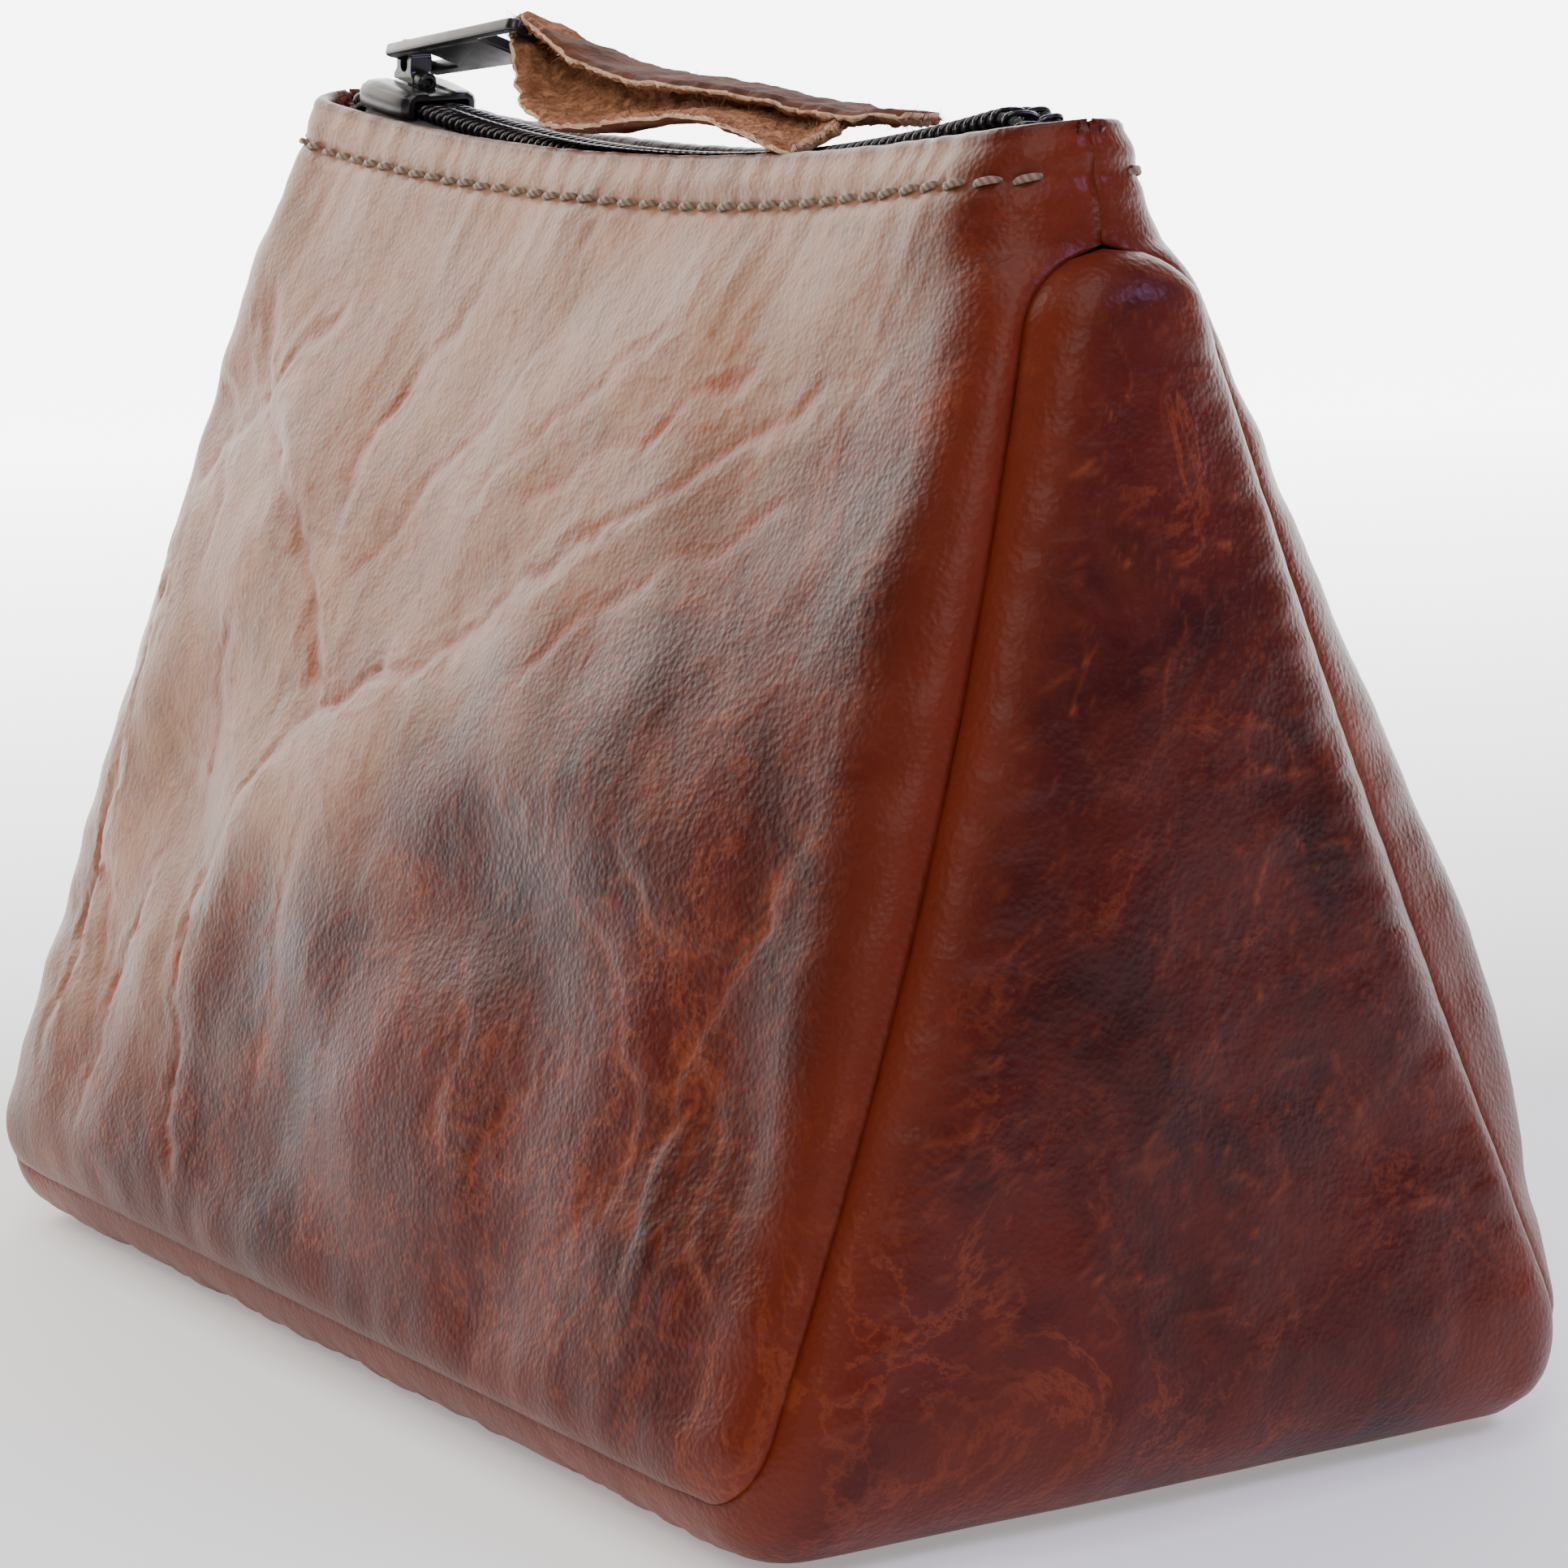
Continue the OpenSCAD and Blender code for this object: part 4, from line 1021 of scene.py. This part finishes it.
for side, label, routes, seed in ((-1, "front", frontCreases, 11), (1, "back", backCreases, 23)):
    row = outwardFaces(makeMesh(label + "_topstitch", *topRow(side, routes, seed)))
    finishPiece(row, "bag", "thread", threadFinish, label + "_top_stitching")
    row = outwardFaces(makeMesh(label + "_seam_thread", *seamRow(side)))
    finishPiece(row, "bag", "thread", threadFinish, label + "_gusset_thread")
for end, label in ((-1, "left"), (1, "right")):
    row = outwardFaces(makeMesh(label + "_seam_thread", *sideRow(end)))
    finishPiece(row, "bag", "thread", threadFinish, label + "_side_thread")
print("threads made")
for label in ("front", "back", "gusset"):
    dress(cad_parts[label + "_lining"], liningFinish)


slider = {
    "x": -78.0,           # middle of the slider along the zip
    "long": 15.0,
    "corner": 1.5,        # rounding of its ends, seen from above
    "nose": 6.7,          # half its width at the nose
    "tail": 6.1,
    "lowHalf": 5.6,       # half the width of the lower blade
    "blade": 1.2,
    "gap": 0.4,
    "pivotX": -2.0,
    "pivotRise": 3.3,
    "crown": 1.75,        # half the crown's width
    "wall": 1.3,          # thickness of the crown's arch
    "ridges": 14,         # how fine its top is ribbed
    "bar": 1.8,           # thickness of the pivot bar
}
pull = {
    "long": 35.4,
    "thick": 1.8,
    "half": 4.9,
    "tipHalf": 6.0,
    "forkHalf": 2.9,      # half the window for the crown
    "forkLong": 9.0,
    "slotHalf": 4.2,      # half the slot for the strap
    "slotLong": 9.0,
    "tipBar": 2.2,        # bar that the strap folds over
    "bevel": 0.38,
    "rise": math.radians(7),
    "roll": math.radians(22),
}
sliderTurn = math.asin(slider["x"] / zipLine["radius"])
blade = zipLine["tape"] + zipLine["coilHeight"] + slider["gap"]      # underside of the upper blade
bladeTop = blade + slider["blade"]


def turnY(a):
    return np.array([[math.cos(a), 0, math.sin(a)], [0, 1, 0], [-math.sin(a), 0, math.cos(a)]])


def turnX(a):
    return np.array([[1, 0, 0], [0, math.cos(a), -math.sin(a)], [0, math.sin(a), math.cos(a)]])


# from the slider's own layout to the bag's
def onZip(points):
    radius = zipLine["radius"]
    origin = np.array([radius * math.sin(sliderTurn), 0, arcCentre - radius * math.cos(sliderTurn)])
    return np.asarray(points) @ turnY(-sliderTurn).T + origin


pivotOnZip = np.array([slider["pivotX"], 0, bladeTop + slider["pivotRise"]])
pullTurn = turnX(-pull["roll"]) @ turnY(sliderTurn - pull["rise"])


def onPull(points):
    return onZip(np.asarray(points) @ pullTurn.T + pivotOnZip)


def addBevel(piece, width):
    edge = piece.modifiers.new("edges", "BEVEL")
    edge.width = width * mm
    edge.segments = 3
    edge.limit_method = "ANGLE"
    edge.angle_limit = math.radians(28)
    edge.harden_normals = True
    return piece


# places along a blade, closer together round its corners
def bladeSteps(middle):
    half = slider["long"] / 2
    curve = slider["corner"] * (1 - np.cos(np.radians([0, 30, 60, 90])))
    return np.concatenate([-half + curve, middle, half - curve[::-1]])


# how much a rounded corner takes off the side of a blade
def cornerCut(x):
    r = slider["corner"]
    return r - math.sqrt(max(0, r ** 2 - max(0, abs(x) - slider["long"] / 2 + r) ** 2))


def upperBlade():
    channel, foot = zipLine["coilOut"] + slider["gap"], zipLine["tape"] + slider["gap"]
    rings = []
    for x in bladeSteps([-3.4, 0, 3]):
        cut = cornerCut(x)
        taper = float(smooth(max(x, 0) / (slider["long"] / 2)))
        wide = slider["nose"] + (slider["tail"] - slider["nose"]) * taper - 0.85 * cut
        top = bladeTop - 0.25 * cut - 0.35 * float(smooth((-x - 5) / 2.5))
        side = [(wide - 0.1, foot), (wide, foot + 0.5), (wide, top - 1.5), (wide - 0.35, top - 0.7),
                (wide - 1.3, top - 0.1), (wide - 2.4, top), (2.3, top), (1.9, top - 0.28)]
        under = [(channel - 0.3, blade), (channel, blade - 0.3), (channel, foot)]
        ring = side + [(-y, z) for y, z in side[::-1]] + [(-y, z) for y, z in under[::-1]] + under
        rings.append(onZip([(x, y, z) for y, z in ring]))
    return loft(rings)


def lowerBlade():
    rings = []
    for x in bladeSteps([0]):
        wide, top = slider["lowHalf"] - cornerCut(x), -slider["gap"]
        low = top - slider["blade"] + 0.1
        side = [(wide - 0.5, low), (wide, low + 0.4), (wide, top)]
        rings.append(onZip([(x, y, z) for y, z in [(-y, z) for y, z in side[::-1]] + side]))
    return loft(rings)


def dividerWedge():
    half = slider["long"] / 2
    low, high = -slider["gap"] - 0.6, blade + 0.3
    outline = [(-half + 0.1, -0.45), (-half + 2.8, -0.45), (-half + 4, -0.12),
               (-half + 4, 0.12), (-half + 2.8, 0.45), (-half + 0.1, 0.45)]
    return loft([onZip([(x, y, z) for x, y in outline]) for z in (low, high)])


# outline of the crown's arch from the side: ribbed on top, with a foot at each end
def crownOutlines():
    eye = slider["bar"] / 2 + 0.15                    # radius of the hole for the pivot bar
    rise = slider["crown"] * math.tan(pull["roll"])   # room for the pull to roll over
    wall, foot = slider["wall"], -slider["pivotRise"]
    front = [(3.2, foot + 0.05), (3.2, foot + 0.9), (eye + wall + 0.4, foot + 1.3), (eye + wall, foot + 1.9)]
    outer, inner = list(front), []
    for a in np.radians(np.linspace(0, 180, 19)):
        r = eye + wall - 0.1 + 0.16 * math.cos(a * slider["ridges"])
        outer.append((r * math.cos(a), rise + r * math.sin(a)))
        inner.append((eye * math.cos(a), rise + eye * math.sin(a)))
    outer += [(-x, z) for x, z in front[::-1]]
    for a in np.radians(np.linspace(180, 360, 19)):
        inner.append((eye * math.cos(a), eye * math.sin(a) - rise))
    return outer, inner


def crownShape(name):
    mesh = bmesh.new()
    loops = []
    for y in (-slider["crown"], slider["crown"]):
        for outline in crownOutlines():
            places = onZip([(x, y, z) + pivotOnZip * [1, 0, 1] for x, z in outline]) * mm
            loops.append([mesh.verts.new(place) for place in places])
    for near, far in ((loops[0], loops[2]), (loops[1], loops[3])):
        for k in range(len(near)):
            m = (k + 1) % len(near)
            mesh.faces.new([near[k], near[m], far[m], far[k]])
    for flank in (loops[:2], loops[2:]):
        edges = [mesh.edges.get(pair) for loop in flank for pair in zip(loop, loop[1:] + loop[:1])]
        bmesh.ops.triangle_fill(mesh, edges=edges, use_beauty=True)
    bmesh.ops.recalc_face_normals(mesh, faces=mesh.faces)
    data = bpy.data.meshes.new(name)
    mesh.to_mesh(data)
    mesh.free()
    data.shade_smooth()
    piece = bpy.data.objects.new(name, data)
    bpy.context.collection.objects.link(piece)
    return piece


def lockBarrel():
    start = pivotOnZip + np.array([0.6, 0, -2.75])
    a = np.linspace(0, 2 * math.pi, 20, endpoint=False)
    rings = []
    for x, radius in ((0, 1.4), (0.2, 1.6), (3.7, 1.6), (4.1, 1.5), (4.4, 1.2), (4.4, 0.7), (3.8, 0.5)):
        rings.append(onZip(start + np.stack([0 * a + x, radius * np.cos(a), radius * np.sin(a)], 1)))
    return loft(rings)


def arc(cx, cy, radius, start, stop):
    return [(cx + radius * math.cos(a), cy + radius * math.sin(a))
            for a in np.radians(np.linspace(start, stop, 7))]


# outlines of the pull from above, drawn in by the bevel: its edge and the window for the strap
def pullOutlines():
    bevel = pull["bevel"]
    tip, half, tipHalf = pull["long"] - bevel, pull["half"] - bevel, pull["tipHalf"] - bevel
    fork, slot = pull["forkHalf"] + bevel, pull["slotHalf"] + bevel
    rail = (half - fork) / 2
    forkEnd = pull["forkLong"] - 1.2 - bevel
    outer = arc(tip - 1.3, -tipHalf + 1.3, 1.3, -90, 0) + arc(tip - 1.3, tipHalf - 1.3, 1.3, 0, 90)
    outer += arc(0, half - rail, rail, 90, 270) + arc(forkEnd, fork - 1.2, 1.2, 90, 0)
    outer += arc(forkEnd, -fork + 1.2, 1.2, 0, -90) + arc(0, -half + rail, rail, 90, 270)
    low = pull["long"] - pull["tipBar"] - pull["slotLong"] - bevel
    high = pull["long"] - pull["tipBar"] + 0.2
    window = arc(low + 1.0, slot - 1.0, 1.0, 180, 90) + arc(high - 0.4, slot - 0.4, 0.4, 90, 0)
    window += arc(high - 0.4, -slot + 0.4, 0.4, 0, -90) + arc(low + 1.0, -slot + 1.0, 1.0, -90, -180)
    return outer, window


# tongue drawn flat as a filled curve, then set on its pivot
def pullPlate():
    curve = bpy.data.curves.new("pullOutline", "CURVE")
    curve.dimensions = "2D"
    curve.fill_mode = "BOTH"
    for outline in pullOutlines():
        spline = curve.splines.new("POLY")
        spline.points.add(len(outline) - 1)
        for point, (x, y) in zip(spline.points, outline):
            point.co = (x, y, 0, 1)
        spline.use_cyclic_u = True
    curve.extrude = pull["thick"] / 2 - pull["bevel"]
    curve.bevel_depth = pull["bevel"]
    curve.bevel_resolution = 3
    drawn = bpy.data.objects.new("pullOutline", curve)
    bpy.context.collection.objects.link(drawn)
    bpy.context.view_layer.update()
    mesh = bpy.data.meshes.new_from_object(drawn.evaluated_get(bpy.context.evaluated_depsgraph_get()))
    bpy.data.objects.remove(drawn)
    bpy.data.curves.remove(curve)
    points = np.array([v.co[:] for v in mesh.vertices])
    faces = [list(f.vertices) for f in mesh.polygons]
    bpy.data.meshes.remove(mesh)
    return onPull(points), faces


def crossBar(x, radius, half):
    a = np.linspace(0, 2 * math.pi, 24, endpoint=False)
    rings = []
    for y in (-half - 0.6, -half, -half * 0.5, 0, half * 0.5, half, half + 0.6):
        rings.append(onPull(np.stack([x + radius * np.cos(a), 0 * a + y, radius * np.sin(a)], 1)))
    return loft(rings)


body = outwardFaces(makeMesh("slider_blades", *joined([upperBlade(), lowerBlade(), dividerWedge()])))
finishPiece(addBevel(body, 0.16), "slider", "slider_metal", metalFinish, "slider_body")
crown = crownShape("slider_crown_metal")
finishPiece(addBevel(crown, 0.22), "slider", "slider_metal", metalFinish, "slider_crown")
barrel = outwardFaces(makeMesh("lock_barrel", *lockBarrel()))
finishPiece(addBevel(barrel, 0.12), "slider", "slider_metal", metalFinish)
plate = outwardFaces(makeMesh("pull_tongue", *joined([
    pullPlate(), crossBar(0, slider["bar"] / 2, pull["forkHalf"]),
    crossBar(pull["long"] - pull["tipBar"] / 2, pull["tipBar"] / 2, pull["slotHalf"])])))
for polygon in plate.data.polygons:
    polygon.use_smooth = True
finishPiece(plate, "pull", "slider_metal", metalFinish, "puller")
print("slider and pull made")


strap = {
    "thick": 1.7,
    "ragged": 0.55,       # how far the cut edges wander
    "tear": 1.6,          # how far the torn ends do
    "wave": 0.55,         # waviness of the leaves
    "nap": 0.42,          # roughness of the suede side
    "strands": 1500,
    "foldHalf": 3.9,      # half the width at the fold
    "foldR": 2.2,
    "rows": 230,
    "cols": 26,
}
suedeSide, grainSide, cutSide = 0, 1, 2
foldAt = onPull([[pull["long"] - pull["tipBar"] / 2, 0, 0]])[0]
pullAxes = [onPull([v])[0] - onPull([[0, 0, 0]])[0] for v in ([1.0, 0, 0], [0, 1.0, 0], [0, 0, 1.0])]
# front and back edges of each leaf past the fold, x y z
nearLeaf = [
    ((-38.0, -4.2, 171.2), (-37.5, 6.0, 175.4)),
    ((-30.0, -7.0, 168.0), (-28.5, 6.6, 173.4)),
    ((-19.0, -8.8, 166.2), (-19.0, 5.6, 171.2)),
    ((-10.0, -8.6, 166.6), (-9.5, 5.0, 170.4)),
    ((1.0, -8.2, 167.3), (1.0, 4.8, 170.4)),
    ((12.0, -7.8, 168.2), (12.0, 4.6, 170.3)),
    ((22.0, -7.6, 168.0), (21.0, 4.2, 169.7)),
    ((31.0, -8.0, 166.8), (30.0, 3.4, 168.4)),
    ((38.0, -8.8, 165.2), (37.5, 2.4, 168.0)),
    ((45.5, -8.8, 164.4), (44.5, 1.4, 167.6)),
]
farLeaf = [
    ((-40.0, 0.2, 178.6), (-38.5, 9.0, 175.8)),
    ((-33.5, -0.2, 176.6), (-31.0, 10.4, 174.2)),
    ((-24.0, -0.6, 174.0), (-22.0, 11.2, 172.4)),
    ((-13.0, -1.0, 172.6), (-12.0, 10.6, 172.0)),
    ((-2.0, -1.4, 171.8), (-2.0, 10.0, 171.4)),
    ((9.0, -1.2, 171.4), (9.0, 9.4, 170.8)),
    ((21.0, -0.8, 170.4), (21.0, 9.0, 169.8)),
    ((33.0, -0.8, 169.3), (33.0, 8.8, 168.8)),
    ((45.0, -0.6, 168.6), (45.0, 8.6, 168.2)),
    ((58.0, 0.2, 168.4), (57.5, 7.6, 168.0)),
]


# smooth curve through points by blended parabolas
def throughPoints(points, count):
    points = np.asarray(points, float)
    padded = np.vstack([2 * points[0] - points[1], points, 2 * points[-1] - points[-2]])
    t = np.linspace(0, len(points) - 1 - 1e-9, count)
    k = t.astype(int)
    u = (t - k)[:, None]
    a, b, c, d = padded[k], padded[k + 1], padded[k + 2], padded[k + 3]
    return 0.5 * (2 * b + (c - a) * u + (2 * a - 5 * b + 4 * c - d) * u ** 2
                  + (3 * b - a - 3 * c + d) * u ** 3)


# front and back edge of the whole strap, and the share of its length before the fold
def strapRails():
    along, wide, up = pullAxes
    half = strap["foldHalf"] * wide
    turn = [foldAt + strap["foldR"] * (math.sin(a) * up - math.cos(a) * along)
            for a in np.radians([80, 50, 20, 0, -20, -50, -80])]
    front = [f for f, b in farLeaf[::-1]] + [p - half for p in turn] + [f for f, b in nearLeaf]
    back = [b for f, b in farLeaf[::-1]] + [p + half for p in turn] + [b for f, b in nearLeaf]
    foldShare = len(farLeaf) / (len(front) - 1)
    return throughPoints(front, strap["rows"]), throughPoints(back, strap["rows"]), foldShare


# middle surface of the strap with its normal, across and along directions, and places s along and v across it
def strapMiddle(front, back, foldShare, rough):
    u = np.linspace(0, 1, strap["cols"])[None]
    along = np.linspace(0, 1, len(front))
    mid = front[:, None] * (1 - u)[..., None] + back[:, None] * u[..., None]
    # the near leaf hollows past the fold
    past = smooth((along - foldShare - 0.04) / 0.10)[:, None] * smooth((1 - along) / 0.06 + 0.25)[:, None]
    mid += (past * 4 * u * (1 - u))[..., None] * np.array([0, 1.3, -1.5])
    tangent = np.gradient(mid, axis=0)
    across = np.gradient(mid, axis=1)
    normal, across, tangent = unit(np.cross(tangent, across)), unit(across), unit(tangent)
    s = reachAlong((front + back) / 2)[:, None] + 0 * u
    wide = np.linalg.norm(back - front, axis=1)[:, None]
    v = u * wide
    # cut edges wander; free ends are torn
    edgeFront = rough.at(s[:, :1] / 2.3, 0)
    edgeBack = rough.at(s[:, :1] / 2.3, 9)
    drift = strap["ragged"] * 1.6 * (edgeBack * u ** 3 - edgeFront * (1 - u) ** 3)
    mid += drift[..., None] * across
    free = np.minimum(s, s[-1] - s)
    tear = bump(free / 2.5) * (strap["tear"] * rough.at(v / 1.7, 3) + 1.3 * rough.at(v / 5, 8))
    mid += tear[..., None] * tangent
    nearFold = bump((s - foldShare * s[-1]) / 12)
    wave = strap["wave"] * rough.at(s / 9, v / 8) + 0.25 * rough.at(s / 4, v / 4 + 5)
    mid += ((1 - 0.6 * nearFold) * wave)[..., None] * normal
    return mid, normal, across, tangent, s, v, wide


# which finish each face takes, in the order of the faces
def strapFinishes(rows, sides, cols, foldShare):
    kinds = []
    for r in range(rows - 1):
        nearFold = abs(r / rows - foldShare) < 0.045
        for c in range(sides):
            if c < cols - 1:
                kinds.append(suedeSide)
            elif c in (cols - 1, cols, sides - 2, sides - 1):
                kinds.append(cutSide)
            else:
                kinds.append(suedeSide if nearFold else grainSide)
    return kinds


def strapSheet():
    rough = Grain(61)
    front, back, foldShare = strapRails()
    mid, normal, across, along, s, v, wide = strapMiddle(front, back, foldShare, rough)
    rows, cols = s.shape
    # the normal side is the suede inside of the fold, the other the grain outside
    nap = strap["nap"] * (rough.at(s / 0.9, v / 0.9) + 0.8 * rough.at(s / 2.2 + 20, v / 2.2))
    thin = np.minimum(1, 0.35 + 0.65 * smooth(np.minimum(v, wide - v) / 0.9))
    half = strap["thick"] / 2 * thin
    sideA = mid + (half + nap)[..., None] * normal
    sideB = mid - (half + 0.10 * rough.at(s / 1.5 + 7, v / 1.5))[..., None] * normal
    edgeFront = (mid[:, 0] - 0.30 * across[:, 0])[:, None]
    edgeBack = (mid[:, -1] + 0.30 * across[:, -1])[:, None]
    rings = np.concatenate([sideA, edgeBack, sideB[:, ::-1], edgeFront], axis=1)
    sides = rings.shape[1]
    faces = gridFaces(rows, sides, wrapCols=True)
    kinds = strapFinishes(rows, sides, cols, foldShare)
    # torn ends, closed between the two sides
    for base in (0, (rows - 1) * sides):
        for c in range(cols - 1):
            mirror = sides - 2 - c
            faces.append([base + c, base + c + 1, base + mirror - 1, base + mirror])
        faces.append([base + cols - 1, base + cols, base + cols + 1])
        faces.append([base + sides - 2, base + sides - 1, base])
        kinds += [cutSide] * (cols + 1)
    return rings.reshape(-1, 3), faces, kinds, sideA, sideB, normal, across, along


points, faces, kinds, sideA, sideB, strapNormal, strapAcross, strapAlong = strapSheet()
strapPiece = makeMesh("strap_leather", points, faces)
finishPiece(strapPiece, "strap", "strap_suede", suedeFinish, "pull_strap")
strapPiece.data.materials.append(grainFinish)
strapPiece.data.materials.append(edgeFinish)
if len(kinds) == len(strapPiece.data.polygons):
    strapPiece.data.polygons.foreach_set("material_index", kinds)
outwardFaces(strapPiece)


# loose fibres on the suede side, the cut edges and the torn ends
def strapFuzz():
    draw = np.random.RandomState(17)
    rows, cols = sideA.shape[:2]
    parts = []
    for _ in range(strap["strands"]):
        r = draw.randint(2, rows - 2)
        where = draw.uniform()
        if where < 0.45:
            c = draw.randint(0, cols)
            start, way = sideA[r, c], strapNormal[r, c]
        elif where < 0.80:
            c = draw.choice([0, cols - 1])
            start = sideA[r, c] * 0.6 + sideB[r, c] * 0.4
            way = strapAcross[r, c] * (1 if c else -1) + 0.5 * strapNormal[r, c]
        else:
            r = draw.choice([0, rows - 1]) if draw.uniform() < 0.6 else int(rows * 0.5) + draw.randint(-9, 9)
            c = draw.randint(0, cols)
            start = (sideA[r, c] + sideB[r, c]) / 2
            way = strapAlong[r, c] * (1 if r > rows / 2 else -1) + 0.3 * strapNormal[r, c]
        way = way + 0.9 * draw.normal(size=3)
        way /= np.linalg.norm(way)
        bend = draw.normal(size=3) * 0.8
        t = np.linspace(0, 1, 4)[:, None]
        length = draw.uniform(0.5, 1.5)
        path = start + length * (t * way + 0.5 * t ** 2 * bend)
        parts.append(sweep(path, np.array([[0.3, 0.5, 0.8]] * 4), 3, np.array([0.05, 0.05, 0.04, 0.02])))
    return joined(parts)


fuzz = makeMesh("strap_fibres", *strapFuzz())
finishPiece(fuzz, "strap", "strap_suede", suedeFinish)
print("strap made")


cameraSet = {
    "turn": 59.84,        # degrees round from the front
    "rise": 9.7,
    "roll": -1.83,
    "distance": 748.3,    # mm
    "aim": (9.73, 73.9),  # mm right and up of the origin
    "lens": 121.1,
}


def placeCamera():
    y, p, r = (math.radians(cameraSet[k]) for k in ("turn", "rise", "roll"))
    back = Vector((math.sin(y) * math.cos(p), -math.cos(y) * math.cos(p), math.sin(p)))
    right = Vector((math.cos(y), math.sin(y), 0))
    up = back.cross(right)
    right, up = math.cos(r) * right + math.sin(r) * up, -math.sin(r) * right + math.cos(r) * up
    data = bpy.data.cameras.new("camera")
    data.lens = cameraSet["lens"]
    data.sensor_width = 36
    data.clip_start, data.clip_end = 0.05, 90
    camera = bpy.data.objects.new("camera", data)
    place = (cameraSet["aim"][0] * right + cameraSet["aim"][1] * up + cameraSet["distance"] * back) * mm
    camera.matrix_world = Matrix.Translation(place) @ Matrix((right, up, back)).transposed().to_4x4()
    bpy.context.collection.objects.link(camera)
    bpy.context.scene.camera = camera


def softbox(name, turn, rise, distance, size, power, tint):
    data = bpy.data.lights.new(name, "AREA")
    data.shape = "RECTANGLE"
    data.size, data.size_y = size
    data.energy = power
    data.color = tint
    lamp = bpy.data.objects.new(name, data)
    y, p = math.radians(turn), math.radians(rise)
    away = Vector((math.sin(y) * math.cos(p), -math.cos(y) * math.cos(p), math.sin(p)))
    lamp.location = Vector((0, 0, 0.08)) + away * distance
    lamp.rotation_euler = away.to_track_quat("Z", "Y").to_euler()
    bpy.context.collection.objects.link(lamp)


# soft lights: degrees round from the front and up, metres away, metres across, watts, colour
lights = {
    "leftWindow": (-66, 30, 1.1, (0.8, 0.8), 9.5, (1.0, 0.92, 0.82)),
    "overhead": (45, 70, 1.1, (0.7, 0.7), 5, (1, 1, 1)),
    "frontFill": (48, 34, 1.3, (0.5, 0.5), 4.2, (1.0, 0.96, 0.92)),
    "coolRim": (124, 38, 1.1, (0.34, 0.22), 5.0, (0.58, 0.50, 1.0)),
}
backdrop = {
    "turn": 60,                    # degrees round from the front, opposite to the pale wall
    "wallFrom": 0.80,              # where the wall starts and is full, 1 being straight behind
    "wallFull": 0.96,
    "room": (0.05, 0.05, 0.053),   # light from the dim room
    "wall": (6.0, 6.0, 6.0),       # and from the wall
    "floorHalf": 40,               # metres
    "floorDrop": 0.0004,
    "floorColor": (0.93, 0.93, 0.93),
    "floorGlow": 0.35,
    "farGlow": 6.0,                # what the far floor has more
    "farFrom": 0.06,               # where that starts and is full, as half the metres behind the bag
    "farFull": 0.60,
}
wayBack = (-math.sin(math.radians(backdrop["turn"])), math.cos(math.radians(backdrop["turn"])), 0)


# pale wall behind the bag, dimmer room in front of it
def hangWall():
    world = bpy.data.worlds.new("studio")
    bpy.context.scene.world = world
    world.use_nodes = True
    nodes, link = world.node_tree.nodes, world.node_tree.links.new
    sky = nodes["Background"]
    sky.inputs["Strength"].default_value = 1.0
    place = nodes.new("ShaderNodeTexCoord")
    across = nodes.new("ShaderNodeVectorMath")
    across.operation = "DOT_PRODUCT"
    across.inputs[1].default_value = wayBack
    halved = nodes.new("ShaderNodeMath")
    halved.operation = "MULTIPLY_ADD"
    halved.inputs[1].default_value, halved.inputs[2].default_value = 0.5, 0.5
    shade = nodes.new("ShaderNodeValToRGB")
    stops = (("wallFrom", "room"), ("wallFull", "wall"))
    for element, (where, color) in zip(shade.color_ramp.elements, stops):
        element.position = backdrop[where]
        element.color = (*backdrop[color], 1)
    link(place.outputs["Generated"], across.inputs[0])
    link(across.outputs["Value"], halved.inputs[0])
    link(halved.outputs[0], shade.inputs["Fac"])
    link(shade.outputs["Color"], sky.inputs["Color"])


# floor that grows brighter into the distance behind the bag
def layFloor():
    span = backdrop["floorHalf"]
    mesh = bpy.data.meshes.new("floor")
    corners = [(-span, -span, 0), (span, -span, 0), (span, span, 0), (-span, span, 0)]
    mesh.from_pydata(corners, [], [(0, 1, 2, 3)])
    floor = bpy.data.objects.new("floor", mesh)
    bpy.context.collection.objects.link(floor)
    n = Nodes("paleFloor")
    behind = n.add("ShaderNodeVectorMath", operation="DOT_PRODUCT")
    behind.inputs[1].default_value = wayBack
    n.link(n.place, behind.inputs[0])
    far = n.math("MULTIPLY", behind.outputs["Value"], 0.5, True)
    share = n.ramp(far, [(backdrop["farFrom"], 0.0), (backdrop["farFull"], 1.0)])
    glow = n.math("MULTIPLY_ADD", share, backdrop["farGlow"], c=backdrop["floorGlow"])
    mesh.materials.append(n.set(Base_Color=backdrop["floorColor"], Roughness=1.0, Specular_IOR_Level=0.0,
                                Emission_Color=(1.0, 1.0, 1.0), Emission_Strength=glow))
    floor.location.z = -backdrop["floorDrop"]


placeCamera()
for name, settings in lights.items():
    softbox(name, *settings)
hangWall()
layFloor()
print("stage set")
